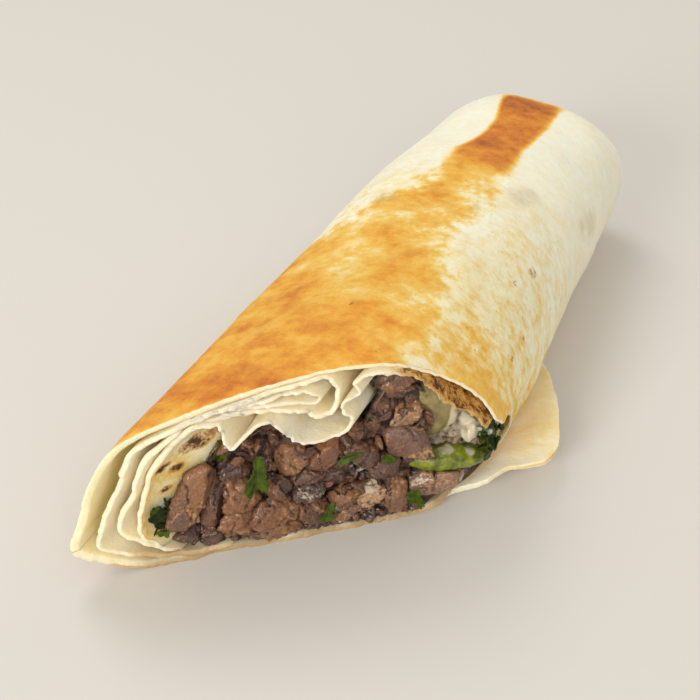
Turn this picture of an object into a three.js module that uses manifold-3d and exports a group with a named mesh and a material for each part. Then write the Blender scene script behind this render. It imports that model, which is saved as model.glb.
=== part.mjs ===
// One half of a grilled shawarma wrap, lying flat with its slanting cut to the front.
// Units are millimetres. X runs across the roll, Y along it away from the cut, and Z up.
// Shapes are set out on the cut as points [across, height], and carried back along the roll.
import * as THREE from "three";
import { mergeVertices } from "three/addons/utils/BufferGeometryUtils.js";
import Module from "manifold-3d";

const wasm = await Module();
wasm.setup();

// Driving dimensions
const ROLL_WIDTH = 60;
const ROLL_HEIGHT = 38;
const ROLL_FRONT = -75;
const ROLL_BACK = 85;
const CUT_ANGLE = THREE.MathUtils.degToRad(39);
const BREAD = 1.2;
const CLEARANCE = 0.35;

// How the roll narrows and sinks behind its cut, which pressed it wider
const HALF_WIDTH = ROLL_WIDTH / 2;
const CUT_BACK = ROLL_FRONT + ROLL_WIDTH * Math.tan(CUT_ANGLE);
const NARROWING = 0.033;
const SINKING = 0.026;
const SPREAD = 1.6;
const SPREAD_LENGTH = 40;

// How its section turns from the cut's outline to a round one
const ROUND_MIDDLE = 13;
const ROUND_POWER = 2.3;
const ROUND_LENGTH = 65;
const PRESSED = 0.5;

// How its far end folds in and lifts off the table
const FOLD_HEIGHT = 15;
const TOP_FOLD = { length: 24, power: 3.4, root: 0.5 };
const SIDE_FOLD = { length: 8.5, power: 2.2, root: 0.4 };
const FOLD_RISE = 0.8;
const END_LIFT = 3.5;
const END_LIFT_LENGTH = 45;
const END_FACE = 0.05;
const CAVITY_BACK = 64;
const LAYERS_BACK = 62;

// Resolution
const ROUND_STEPS = 34;
const OUTSIDE_STEPS = 14;
const INSIDE_STEPS = 8;
const LAYER_STEPS = 3;
const FLAP_STEPS = 5;
const CUT_MARGIN = 12;
const GRID = 0.01;
const SETTLING_ROUNDS = 4;

// The outside of the roll where the knife went through, from the left tip along the underside
const CUT_OUTLINE = [
  [-30, 7.2], [-26.5, 3.2], [-20.5, 0], [-12, 0], [0, 0], [11, 0], [19, 0.8], [24.6, 3.4],
  [28.8, 5.4], [31, 9], [31, 13.5], [30, 18], [27.8, 24], [25, 28.8], [20.4, 33.4], [14.5, 37],
  [6, 38], [-5, 36], [-15, 32.6], [-22.6, 28.6], [-26.3, 22], [-28.6, 14],
];

// The inner layers of the sheet, as their middle lines on the cut
const LAYERS = [
  {
    // second ply: along the underside, up inside the left edge and back under the top
    line: [
      [-9, 1.6], [-14, 1.6], [-19, 2.2], [-24, 4.4], [-26.3, 7.2], [-25.7, 12], [-24.5, 16],
      [-22.6, 20], [-21.8, 24], [-20.4, 27], [-16.5, 29.8], [-10.5, 32.2], [-4, 34.2],
    ],
    samples: 17,
  },
  {
    // third ply: a fold that stands inside the second
    line: [
      [-15.8, 3], [-18.6, 4], [-21.6, 6.6], [-23.6, 9.4], [-22.8, 13.8], [-21.2, 17.2],
      [-20.3, 21.5], [-19, 25], [-16.5, 27.6], [-14, 30],
    ],
    samples: 12,
  },
  {
    // innermost ply on the left, which bulges towards the meat further in
    line: [
      [-18.2, 4.4], [-20.6, 8], [-20.6, 13], [-19.6, 18], [-18.8, 21.6], [-17, 24.8],
      [-14.8, 28.2], [-11.6, 30.6], [-7.6, 31.4],
    ],
    samples: 11,
    drift: 1.6,
  },
  {
    // flattened pleat under the top: out along the top, round, and back below
    line: [
      [-13, 31.6], [-5, 34.2], [1.4, 36], [4.6, 36.3], [6.1, 34.3], [6.3, 31.3], [5.2, 28.6],
      [3.4, 28.3], [1.4, 30], [-3, 31.2], [-9, 31.8],
    ],
    samples: 18,
  },
  {
    // the pleat's inner turn
    line: [
      [-10, 32.8], [-5, 33.1], [-0.5, 34.1], [2.4, 34.2], [4, 33], [3.6, 31.6], [1, 32],
      [-3, 32.4], [-8, 32.2],
    ],
    samples: 12,
  },
  {
    // ruffled innermost layer over the meat: a point, an arch, a wide lobe and a tall fold
    line: [
      [-12, 31.2], [-8.8, 30.6], [-8, 27.6], [-7.2, 25.6], [-5.6, 27.6], [-3.6, 29.4],
      [-1.2, 28.8], [0.2, 26.2], [2, 24.3], [5, 23.9], [8, 25], [8.8, 27.6], [7.6, 30],
      [8.1, 32.2], [9.8, 33.2], [8.9, 35], [10.4, 36.4], [13.6, 36.2], [17.2, 34.4],
      [20, 30.8], [22.8, 27], [26, 23.4], [27.8, 20.8],
    ],
    samples: 36,
    ahead: 1.5,
  },
];

// The sheet's loose end, which comes out from under the roll on the right
const FLAP_LINE = [
  [12.5, 0.62], [17.6, 0.9], [21.5, 1.8], [25.4, 3.2], [29.5, 4.5], [33.5, 5.5], [37, 6.4],
];
const FLAP_ROOT = 17.6;
const FLAP_HALF_LENGTH = 25;
const FLAP_MIDDLE = -1.5;
const FLAP_SWEEP = 11;
const FLAP_SWEEP_POWER = 1.2;
const FLAP_ROUNDNESS = 0.6;
const FLAP_SAMPLES = 15;
const FLAP_TIP = 0.02;

// The outline of the packed filling on the cut
const FILLING_OUTLINE = [
  [-16.4, 6], [-15.8, 10], [-14, 15], [-12.6, 20], [-10.4, 23.6], [-7, 23.8], [-3.6, 26.2],
  [-1.4, 25], [1.4, 21.8], [8, 21.8], [10.6, 27], [14, 33], [17, 31.8], [21, 27], [25.4, 20.8],
  [27, 15], [25.4, 9.8], [21, 5.8], [14, 3.4], [4, 2.6], [-6, 3], [-13, 4],
];
const FILLING_MIDDLE = [4, 14];
const FILLING_SETBACK = 12;
const FILLING_STEPS = 6;
const FILLING_NARROWING = 0.75;
const FILLING_NARROWING_POWER = 6;

// Pieces of meat that show at the cut: the middle of each one's front on the cut, how far in
// that front lies, its width, depth and height, and its lean to the left in degrees
const MEAT_PIECES = [
  { at: [17.6, 17.9], inward: 0, size: [11.4, 8.5, 6], lean: -18 },
  { at: [13.1, 24.2], inward: 3, size: [6, 8, 8], lean: 8 },
  { at: [-14.4, 12.8], inward: -0.3, size: [4.8, 2.8, 14.6], lean: -23 },
  { at: [-10.6, 11.6], inward: 1.5, size: [4.2, 7, 11.6], lean: -10 },
  { at: [-15.2, 3.9], inward: 0.4, size: [6.2, 7, 4.8], lean: 8 },
  { at: [-11.6, 3.8], inward: 0.3, size: [5.8, 7, 4.4], lean: 12 },
  { at: [-7.7, 12.4], inward: 0.2, size: [6.6, 7, 6.2], lean: 6 },
  { at: [-8.2, 6.2], inward: 0.3, size: [6.4, 7, 6], lean: 5 },
  { at: [-2.8, 7], inward: 0.3, size: [8.6, 7, 5.2], lean: 6 },
  { at: [-2.8, 2.9], inward: 0.8, size: [10, 7, 2.8], lean: 3 },
  { at: [-7.8, 17], inward: 1.4, size: [6, 6, 4], lean: 12 },
  { at: [-10.4, 17.4], inward: 3, size: [5.8, 7, 4.6], lean: 24 },
  { at: [-5.2, 20], inward: 2.6, size: [4.6, 6, 4.4], lean: 0 },
  { at: [-2.3, 19.6], inward: 3.4, size: [3.6, 6, 6], lean: 0 },
  { at: [0.4, 18.8], inward: 0.8, size: [5, 7, 7.4], lean: -6 },
  { at: [4.6, 18], inward: 0.5, size: [4.2, 7, 6.8], lean: -18 },
  { at: [2.1, 14.2], inward: 0.4, size: [4.8, 7, 3.4], lean: 14 },
  { at: [-1.6, 12.7], inward: 0.5, size: [4.2, 6, 5.2], lean: -8 },
  { at: [2.6, 10.4], inward: 0.5, size: [5.2, 7, 3.8], lean: 10 },
  { at: [6.4, 12.6], inward: 1.2, size: [4.4, 7, 5], lean: -10 },
  { at: [7.4, 8.4], inward: 0.2, size: [4.8, 6, 3.6], lean: 6 },
  { at: [2.8, 5.6], inward: 0.4, size: [5.6, 7, 4.8], lean: 8 },
  { at: [7.8, 4.2], inward: 0.3, size: [5.4, 6, 3.8], lean: 4 },
  { at: [11.4, 7], inward: 0.3, size: [4.2, 5.5, 4.8], lean: -6 },
  { at: [9.8, 16.4], inward: 0.4, size: [6, 7, 5], lean: -4 },
  { at: [13.2, 13], inward: 0.2, size: [5, 7, 5.8], lean: 6 },
  { at: [14.4, 6.6], inward: 0.1, size: [4.6, 7, 6.4], lean: 10 },
  { at: [20.9, 8.1], inward: 0.2, size: [9.8, 7, 5.8], lean: 12 },
  { at: [14.5, 31.8], inward: 1.5, size: [7, 7, 4.6], lean: 6 },
  { at: [9.6, 21], inward: 2, size: [5, 6, 3.4], lean: -14 },
  { at: [17.2, 21.7], inward: 2, size: [8.6, 7, 7.4], lean: -24 },
];

// Other pieces in the filling, in the same terms
const OTHER_PIECES = {
  pickle_slice: { at: [21, 23], inward: 3.2, size: [7, 6, 13], lean: -3, edge: 5 },
  onion_piece: { at: [25.9, 17.9], inward: 1, size: [3.4, 5, 5.2], lean: 5, edge: 4 },
  green_rib: { at: [22.6, 12], inward: 0.2, size: [13.8, 5, 3.6], lean: -6.5, edge: 2.4 },
};

// Clumps of chopped herb
const HERB_CLUMPS = {
  herb_clump_right: { at: [28.4, 15.6], inward: 0.2, size: [3.8, 4, 6.4], lean: 4 },
  herb_clump_left: { at: [-18, 9.4], inward: 0.4, size: [2, 4, 8], lean: -14 },
};

// Herb leaves that lie on the cut
const LEAVES = [
  { at: [-4.8, 17.4], inward: -1.2, size: [4, 9.6], lean: -4 },
  { at: [7.6, 19.1], inward: -0.6, size: [2, 4.8], lean: -77 },
  { at: [17.2, 6.6], inward: -0.8, size: [2.8, 4.8], lean: 32 },
  { at: [4.8, 5.6], inward: -0.8, size: [2.4, 5], lean: -16 },
  { at: [-8.8, 21.8], inward: 2.6, size: [2.4, 6.4], lean: -14 },
  { at: [13.5, 17], inward: -0.4, size: [2, 2.8], lean: 50 },
];
const LEAF_THICKNESS = 0.45;
const LEAF_LOBES = 3;
const LEAF_LOBE_DEPTH = 0.22;
const LEAF_WAVE = 0.35;
const LEAF_RINGS = 2;
const LEAF_SECTORS = 12;

const PIECE_EDGE = 3.2;
const PIECE_BUMPS = 0.1;
const PIECE_FILL = 1.12;
const SMALL_PIECE = 9;
const CLUMP_EDGE = 2;
const CLUMP_BUMPS = 0.2;

// Waves that make a lump uneven, and where each kind of lump starts in them
const WAVES = [{ rate: 2.1, strength: 1.4 }, { rate: 3.7, strength: 1 }, { rate: 5.9, strength: 0.7 }];
const SEEDS = { meat: 1, clump: 30, other: 50 };

// The smoothed outline of the cut
const OUTLINE = smoothLine(CUT_OUTLINE, ROUND_STEPS, true);
const OUTLINE_SLACK = 1e-6;

const COLOURS = {
  bread: { color: 0xecd9ae, roughness: 0.8, metalness: 0 },
  meat: { color: 0x86675a, roughness: 0.5, metalness: 0 },
  pickle: { color: 0xa6a25c, roughness: 0.3, metalness: 0 },
  onion: { color: 0xdcd9c8, roughness: 0.3, metalness: 0 },
  rib: { color: 0x9ab84a, roughness: 0.35, metalness: 0 },
  herb: { color: 0x356b22, roughness: 0.45, metalness: 0 },
};

// Where the knife's plane crosses a line along the roll
function cutY(across) {
  return ROLL_FRONT + (across + HALF_WIDTH) * Math.tan(CUT_ANGLE);
}

// How far a fold at the far end has closed, from 1 where it starts to 0 at the end
function closing(y, { length, power, root }) {
  const share = THREE.MathUtils.clamp((y - ROLL_BACK + length) / length, 0, 1);
  return (1 - share ** power) ** root;
}

// The roll's half width, underside and top at a place along it
function girth(y) {
  const along = Math.max(y - CUT_BACK, 0);
  const spread = SPREAD * THREE.MathUtils.smoothstep(along, 0, SPREAD_LENGTH);
  const lift = END_LIFT * THREE.MathUtils.smoothstep(y, ROLL_BACK - END_LIFT_LENGTH, ROLL_BACK);
  const top = ROLL_HEIGHT - SINKING * along;
  const open = closing(y, TOP_FOLD);
  return {
    halfWidth: (HALF_WIDTH - spread - NARROWING * along) * closing(y, SIDE_FOLD),
    under: lift + (FOLD_HEIGHT - lift) * (1 - open) * FOLD_RISE,
    top: FOLD_HEIGHT + (top - FOLD_HEIGHT) * open,
  };
}

// How far the cut's outline reaches from its middle in the direction of a point
function outlineReach(across, rise) {
  const distance = Math.hypot(across, rise);
  const reaches = OUTLINE.map((point, i) => {
    const next = OUTLINE[(i + 1) % ROUND_STEPS];
    const run = [next[0] - point[0], next[1] - point[1]];
    const from = [point[0], point[1] - ROUND_MIDDLE];
    const turn = across * run[1] - rise * run[0];
    const share = (from[0] * rise - from[1] * across) / turn;
    if (share < -OUTLINE_SLACK || share > 1 + OUTLINE_SLACK) return 0;
    return ((from[0] * run[1] - from[1] * run[0]) * distance) / turn;
  });
  return Math.max(...reaches);
}

// A point of the cut as it lies further back, where the roll is rounder by a share
function rounded([across, height], share) {
  const rise = height - ROUND_MIDDLE;
  const distance = Math.hypot(across, rise);
  const room = rise > 0 ? ROLL_HEIGHT - ROUND_MIDDLE : ROUND_MIDDLE + PRESSED;
  const sideways = Math.abs(across) / distance / HALF_WIDTH;
  const upright = Math.abs(rise) / distance / room;
  const reach = (sideways ** ROUND_POWER + upright ** ROUND_POWER) ** (-1 / ROUND_POWER);
  const scale = THREE.MathUtils.lerp(1, reach / outlineReach(across, rise), share);
  return [across * scale, Math.max(ROUND_MIDDLE + rise * scale, 0)];
}

// Carries a point of the cut, [across, height], back along the roll to y
function place(point, y) {
  const { halfWidth, under, top } = girth(y);
  const share = THREE.MathUtils.smoothstep(y, CUT_BACK, CUT_BACK + ROUND_LENGTH);
  const [across, height] = rounded(point, share);
  return [
    (across * halfWidth) / HALF_WIDTH,
    y,
    under + (height * (top - under)) / ROLL_HEIGHT,
  ];
}

// A smooth line through points of the cut, as evenly spread points
function smoothLine(points, samples, closed = false) {
  const curve = new THREE.CatmullRomCurve3(
    points.map(([across, height]) => new THREE.Vector3(across, height, 0)),
    closed,
    "centripetal",
  );
  const line = curve.getSpacedPoints(samples).map(({ x, y }) => [x, y]);
  return closed ? line.slice(0, -1) : line;
}

// The points of a line moved sideways by a distance, to its left where that is positive
function offsetLine(line, distance, closed = false) {
  const last = line.length - 1;
  return line.map(([x, y], i) => {
    const before = line[i > 0 ? i - 1 : closed ? last : 0];
    const after = line[i < last ? i + 1 : closed ? 0 : last];
    const run = [after[0] - before[0], after[1] - before[1]];
    const length = Math.hypot(...run);
    return [x - (run[1] * distance) / length, y + (run[0] * distance) / length];
  });
}

// The triangles that close a ring of points, wound as the ring is
function lid(ring) {
  if (ring.length === 4) return [[0, 1, 2], [0, 2, 3]];
  const flat = ring.map(([x, , z]) => new THREE.Vector2(x, z));
  const turn = Math.sign(THREE.ShapeUtils.area(flat));
  return THREE.ShapeUtils.triangulateShape(flat, []).map(([a, b, c]) => {
    const wound = Math.sign(THREE.ShapeUtils.area([flat[a], flat[b], flat[c]])) === turn;
    return wound ? [a, b, c] : [a, c, b];
  });
}

// A closed surface through rings of points, with a lid on each end. The quads of one side can
// be split along their other diagonal.
function loft(rings, otherSplit = -1) {
  const count = rings[0].length;
  const base = (rings.length - 1) * count;
  const faces = [];
  for (let ring = 0; ring + 1 < rings.length; ring += 1) {
    for (let i = 0; i < count; i += 1) {
      const a = ring * count + i;
      const b = ring * count + ((i + 1) % count);
      if (i === otherSplit) faces.push([a, b, a + count], [b, b + count, a + count]);
      else faces.push([a, b, b + count], [a, b + count, a + count]);
    }
  }
  for (const [a, b, c] of lid(rings[0])) faces.push([c, b, a]);
  for (const [a, b, c] of lid(rings.at(-1))) faces.push([base + a, base + b, base + c]);
  return surface(rings.flat(), faces);
}

// A geometry from points and faces, turned to face outwards
function surface(points, faces) {
  const geometry = new THREE.BufferGeometry();
  geometry.setAttribute("position", new THREE.Float32BufferAttribute(points.flat(), 3));
  let volume = 0;
  for (const [a, b, c] of faces) {
    const [p, q, r] = [points[a], points[b], points[c]].map((v) => new THREE.Vector3(...v));
    volume += p.dot(q.cross(r));
  }
  geometry.setIndex((volume < 0 ? faces.map(([a, b, c]) => [a, c, b]) : faces).flat());
  return geometry;
}

// A solid for joining and cutting, from a closed geometry
function solid(geometry) {
  const bare = geometry.clone();
  bare.deleteAttribute("normal");
  bare.deleteAttribute("uv");
  const merged = mergeVertices(bare, GRID / 4);
  return new wasm.Manifold(
    new wasm.Mesh({
      numProp: 3,
      vertProperties: merged.attributes.position.array,
      triVerts: new Uint32Array(merged.index.array),
    }),
  );
}

// The biggest of the bodies that a cut has left
function biggest(made) {
  return made.decompose().reduce((a, b) => (a.volume() > b.volume() ? a : b));
}

function join(solids) {
  return wasm.Manifold.union(solids);
}

// The geometry of a solid, with its points on a fine grid so that slivers fall together
function geometryOf(made) {
  const { vertProperties, triVerts } = made.getMesh();
  const geometry = new THREE.BufferGeometry();
  const positions = vertProperties.map((value) => Math.round(value / GRID) * GRID);
  geometry.setAttribute("position", new THREE.BufferAttribute(positions, 3));
  geometry.setIndex(new THREE.BufferAttribute(triVerts, 1));
  return geometry;
}

// A named mesh from a finished solid, rid of slivers too small to keep
function mesh(name, made, colour) {
  let settled = made;
  for (let i = 0; i < SETTLING_ROUNDS; i += 1) settled = biggest(solid(geometryOf(settled)));
  const geometry = geometryOf(settled);
  geometry.computeVertexNormals();
  const built = new THREE.Mesh(geometry, new THREE.MeshStandardMaterial(colour));
  built.name = name;
  return built;
}

// The roll's outline at a place along it, moved in by a distance
function rollRing(y, inset) {
  const ring = OUTLINE.map((point) => place(point, y)).map(([x, , z]) => [x, z]);
  return offsetLine(ring, inset, true).map(([x, z]) => [x, y, z]);
}

// Places along the roll, closer together where its end folds in
function stations(from, to, steps) {
  const eased = (i) => Math.sin(((i / steps) * Math.PI) / 2);
  return Array.from({ length: steps + 1 }, (_, i) => from + (to - from) * eased(i));
}

// The outer ply: the roll less its hollow, and less what the knife took off
function outerPly(growth) {
  const front = ROLL_FRONT - CUT_MARGIN;
  const outsideStations = stations(front, ROLL_BACK - END_FACE, OUTSIDE_STEPS);
  const insideStations = stations(front - BREAD, CAVITY_BACK, INSIDE_STEPS);
  const outside = outsideStations.map((y) => rollRing(y, -growth));
  const inside = insideStations.map((y) => rollRing(y, BREAD + growth));
  const reach = 2 * ROLL_WIDTH;
  const knife = new THREE.BoxGeometry(reach, reach, reach)
    .translate(0, -reach / 2, 0)
    .rotateZ(CUT_ANGLE)
    .translate(0, cutY(0) - growth / Math.cos(CUT_ANGLE), 0);
  return solid(loft(outside)).subtract(solid(loft(inside))).subtract(solid(knife));
}

// A line with each end drawn out a little further
function drawnOut(line, distance) {
  const reach = (end, before) => {
    const run = [end[0] - before[0], end[1] - before[1]];
    const scale = distance / Math.hypot(...run);
    return [end[0] + run[0] * scale, end[1] + run[1] * scale];
  };
  return [reach(line[0], line[1]), ...line.slice(1, -1), reach(line.at(-1), line.at(-2))];
}

// A sheet from rows of [left, right] points, made of short lengths that share their faces
function strip(rows) {
  const lengths = rows.slice(1).map((next, i) => {
    const rings = next.map(([left, right], step) => [...rows[i][step], right, left]);
    return solid(loft(rings, 2));
  });
  return join(lengths);
}

// A layer of the sheet: its middle line on the cut, carried back along the roll
function layer({ line, samples, ahead = 0, drift = 0 }, growth) {
  const middle = drawnOut(smoothLine(line, samples), growth);
  const sides = [1, -1].map((side) => offsetLine(middle, side * (BREAD / 2 + growth)));
  const rows = middle.map(([across], i) => {
    const from = cutY(across) - ahead - growth;
    return Array.from({ length: LAYER_STEPS + 1 }, (_, step) => {
      const share = step / LAYER_STEPS;
      const y = from + (LAYERS_BACK - from) * share;
      const drifted = drift * Math.sin(share * Math.PI);
      return sides.map((side) => place([side[i][0] + drifted, side[i][1]], y));
    });
  });
  return strip(rows);
}

// The loose end of the sheet: a rounded lobe that lifts a little as it leaves the roll
function flap(growth) {
  const middle = drawnOut(smoothLine(FLAP_LINE, FLAP_SAMPLES), growth);
  const sides = [1, -1].map((side) => offsetLine(middle, side * (BREAD / 2 + growth)));
  const width = FLAP_LINE.at(-1)[0] - FLAP_ROOT;
  const rows = middle.map(([across], i) => {
    const out = THREE.MathUtils.clamp((across - FLAP_ROOT) / width, 0, 1);
    const centre = FLAP_MIDDLE - FLAP_SWEEP * out ** FLAP_SWEEP_POWER;
    const half = FLAP_HALF_LENGTH * Math.max(1 - out, FLAP_TIP) ** FLAP_ROUNDNESS + growth;
    return Array.from({ length: FLAP_STEPS + 1 }, (_, step) => {
      const y = centre - half * Math.cos((step / FLAP_STEPS) * Math.PI);
      return sides.map((side) => [side[i][0], y, side[i][1]]);
    });
  });
  return strip(rows);
}

// The flatbread, or the room it needs where growth is a clearance all round it
function flatbread(growth) {
  return join([outerPly(growth), flap(growth), ...LAYERS.map((each) => layer(each, growth))]);
}

// Smooth, repeatable unevenness over directions
function unevenness({ x, y, z }, seed) {
  return WAVES.reduce((total, { rate, strength }, i) => {
    const wave = [x, y, z].map((value, axis) => Math.sin(rate * value + seed * (1 + i + axis / 2)));
    return total + strength * wave[0] * wave[1] * wave[2];
  }, 0);
}

// Sets a geometry down behind the cut, leaning in the cut's plane
function setDown(geometry, { at, lean }, inward) {
  return geometry
    .rotateY(-THREE.MathUtils.degToRad(lean))
    .translate(0, inward, 0)
    .rotateZ(CUT_ANGLE)
    .translate(at[0], cutY(at[0]), at[1]);
}

// How far a direction reaches inside a block with rounded edges that is two wide
function blockReach(direction, edge) {
  const sum = direction.toArray().reduce((total, value) => total + Math.abs(value) ** edge, 0);
  return sum ** (-1 / edge);
}

// A cut, torn lump: a block with rounded edges and uneven faces
function lump({ size, edge = PIECE_EDGE, bumps = PIECE_BUMPS, inward, ...where }, seed, growth = 0) {
  const detail = Math.max(size[0], size[2]) < SMALL_PIECE ? 1 : 2;
  const ball = new THREE.IcosahedronGeometry(1, detail);
  const geometry = mergeVertices(ball.deleteAttribute("normal").deleteAttribute("uv"), GRID / 4);
  const position = geometry.attributes.position;
  const point = new THREE.Vector3();
  for (let i = 0; i < position.count; i += 1) {
    point.fromBufferAttribute(position, i).normalize();
    const reach = blockReach(point, edge) * (1 + bumps * unevenness(point, seed));
    const grown = size.map((full) => (full / 2) * PIECE_FILL * reach + growth);
    position.setXYZ(i, point.x * grown[0], point.y * grown[1], point.z * grown[2]);
  }
  return solid(setDown(geometry, where, inward + size[1] / 2));
}

// A thin wavy leaf with lobes, both faces split alike
function leaf({ size, inward, ...where }, growth = 0) {
  const thickness = LEAF_THICKNESS + 2 * growth;
  const faces = [];
  const points = [];
  const sides = [thickness / 2, -thickness / 2];
  for (const side of sides) {
    points.push([0, side, 0]);
    for (let ring = 1; ring <= LEAF_RINGS; ring += 1) {
      for (let i = 0; i < LEAF_SECTORS; i += 1) {
        const angle = (i / LEAF_SECTORS) * 2 * Math.PI;
        const lobe = 1 + LEAF_LOBE_DEPTH * Math.cos(LEAF_LOBES * (angle - Math.PI / 2));
        const out = ring / LEAF_RINGS;
        const x = (Math.cos(angle) * size[0] * lobe * out) / 2;
        const z = (Math.sin(angle) * size[1] * lobe * out) / 2;
        const wave = LEAF_WAVE * Math.sin(angle * 2) * out;
        const rim = ring === LEAF_RINGS ? growth : 0;
        points.push([x + Math.cos(angle) * rim, side + wave, z + Math.sin(angle) * rim]);
      }
    }
  }
  const perSide = points.length / 2;
  for (const side of [0, 1]) {
    const first = side * perSide;
    for (let i = 0; i < LEAF_SECTORS; i += 1) {
      const next = (i + 1) % LEAF_SECTORS;
      const fan = [first, first + 1 + i, first + 1 + next];
      faces.push(side ? fan : fan.reverse());
      for (let ring = 1; ring < LEAF_RINGS; ring += 1) {
        const a = first + 1 + (ring - 1) * LEAF_SECTORS;
        const b = a + LEAF_SECTORS;
        const pair = [[a + i, b + i, b + next], [a + i, b + next, a + next]];
        faces.push(...(side ? pair : pair.map((face) => face.reverse())));
      }
    }
  }
  const rim = 1 + (LEAF_RINGS - 1) * LEAF_SECTORS;
  for (let i = 0; i < LEAF_SECTORS; i += 1) {
    const next = (i + 1) % LEAF_SECTORS;
    const across = [rim + next, perSide + rim + next, perSide + rim + i];
    faces.push([rim + i, across[0], across[1]], [rim + i, across[1], across[2]]);
  }
  return solid(setDown(surface(points, faces), where, inward));
}

// The filling that runs through the roll, behind the pieces that show
function fillingCore() {
  const outline = smoothLine(FILLING_OUTLINE, 2 * FILLING_OUTLINE.length, true);
  const rings = Array.from({ length: FILLING_STEPS + 1 }, (_, step) => {
    const share = step / FILLING_STEPS;
    const shrink = Math.sqrt(1 - FILLING_NARROWING * share ** FILLING_NARROWING_POWER);
    return outline.map((point) => {
      const narrowed = FILLING_MIDDLE.map((middle, i) => middle + (point[i] - middle) * shrink);
      const from = cutY(point[0]) + FILLING_SETBACK;
      return place(narrowed, from + (LAYERS_BACK - from) * share);
    });
  });
  return solid(loft(rings));
}

const group = new THREE.Group();
const bread = biggest(flatbread(0));
group.add(mesh("flatbread", bread, COLOURS.bread));

// Pieces in front are set first, and each later one is cut back clear of all before it
let taken = biggest(flatbread(CLEARANCE));
function addPiece(name, made, grown, colour) {
  group.add(mesh(name, biggest(made.subtract(taken)), colour));
  taken = taken.add(grown);
}

LEAVES.forEach((each, i) => {
  addPiece(`herb_leaf_${i + 1}`, leaf(each), leaf(each, CLEARANCE), COLOURS.herb);
});
Object.entries(HERB_CLUMPS).forEach(([name, each], i) => {
  const rough = { ...each, edge: CLUMP_EDGE, bumps: CLUMP_BUMPS };
  const seed = SEEDS.clump + i;
  addPiece(name, lump(rough, seed), lump(rough, seed, CLEARANCE), COLOURS.herb);
});
const OTHER_COLOURS = [COLOURS.pickle, COLOURS.onion, COLOURS.rib];
Object.entries(OTHER_PIECES).forEach(([name, each], i) => {
  const even = { ...each, bumps: PIECE_BUMPS / 2 };
  const seed = SEEDS.other + i;
  addPiece(name, lump(even, seed), lump(even, seed, CLEARANCE), OTHER_COLOURS[i]);
});
MEAT_PIECES.forEach((each, i) => {
  const name = `meat_piece_${String(i + 1).padStart(2, "0")}`;
  const seed = SEEDS.meat + i;
  addPiece(name, lump(each, seed), lump(each, seed, CLEARANCE), COLOURS.meat);
});
addPiece("meat_filling", fillingCore(), fillingCore(), COLOURS.meat);

// The part's origin is the middle of its box, at the bottom
const box = new THREE.Box3().setFromObject(group);
const middle = box.getCenter(new THREE.Vector3());
group.position.set(-middle.x, -middle.y, -box.min.z);

export default group;
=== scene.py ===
"""The look of half a toasted flatbread wrap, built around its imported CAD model.

The roll's shapes are worked out in millimetres, in design coordinates whose X runs across the
roll, Y along it away from the cut and Z up. They move into the CAD frame, in metres, when a
mesh is made. A place on the cut is given as [across, height]. The UV map holds the unrolled
sheet, with SHEET_UNIT for each millimetre.
"""

import sys
import logging
import math
from dataclasses import dataclass, field
from enum import Enum

import bmesh
import bpy
import numpy as np
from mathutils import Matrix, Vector
from mathutils.bvhtree import BVHTree


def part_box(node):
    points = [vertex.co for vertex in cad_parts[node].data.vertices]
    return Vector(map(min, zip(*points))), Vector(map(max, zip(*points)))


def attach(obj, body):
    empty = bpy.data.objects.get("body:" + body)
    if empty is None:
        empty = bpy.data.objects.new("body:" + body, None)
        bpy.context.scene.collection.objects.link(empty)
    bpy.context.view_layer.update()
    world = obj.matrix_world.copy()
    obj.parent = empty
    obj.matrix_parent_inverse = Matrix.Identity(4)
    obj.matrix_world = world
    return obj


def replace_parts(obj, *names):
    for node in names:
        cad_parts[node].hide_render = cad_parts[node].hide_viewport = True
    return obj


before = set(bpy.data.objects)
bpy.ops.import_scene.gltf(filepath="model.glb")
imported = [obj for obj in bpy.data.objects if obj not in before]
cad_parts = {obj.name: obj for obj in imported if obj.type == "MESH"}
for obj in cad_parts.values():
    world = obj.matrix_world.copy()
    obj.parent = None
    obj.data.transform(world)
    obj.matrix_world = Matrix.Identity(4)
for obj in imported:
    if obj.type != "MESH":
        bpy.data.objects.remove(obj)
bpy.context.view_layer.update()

Array = np.ndarray
Colour = tuple[float, float, float]
Place = tuple[float, float, float]
Line = tuple[tuple[float, float], ...]
Spots = tuple[Place, ...]
Stops = tuple[tuple[float, Colour], ...]
Material = bpy.types.Material
Socket = bpy.types.NodeSocket

log = logging.getLogger("wrap")

MM = 0.001
BODY = "root"
DESIGN_LEFT = -30.0
DESIGN_FRONT = -75.0
SHEET_UNIT = 0.01
UP = np.array([0.0, 0.0, 1.0])


def ease(value: Array, low: float, high: float) -> Array:
    """Eases values from 0 at low to 1 at high.

    Args:
        value: The values to ease.
        low: Where the result is 0.
        high: Where the result is 1, above or below low.

    Returns:
        Numbers from 0 to 1, in the shape of value.
    """
    share = np.clip((value - low) / (high - low), 0.0, 1.0)
    return share * share * (3.0 - 2.0 * share)


def stacked(*parts: Array) -> Array:
    """Coordinates that are given apart, broadcast and stacked along a new last axis."""
    return np.stack(np.broadcast_arrays(*parts), -1)


def unit(vectors: Array) -> Array:
    """Vectors along the last axis, each made one long."""
    return vectors / np.maximum(np.linalg.norm(vectors, axis=-1, keepdims=True), 1e-9)


def frame_shift() -> Array:
    """How far design coordinates move, in millimetres, to land in the CAD frame."""
    low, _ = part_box("flatbread")
    return np.array([low[0] / MM - DESIGN_LEFT, low[1] / MM - DESIGN_FRONT, low[2] / MM])


SHIFT = frame_shift()


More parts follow.
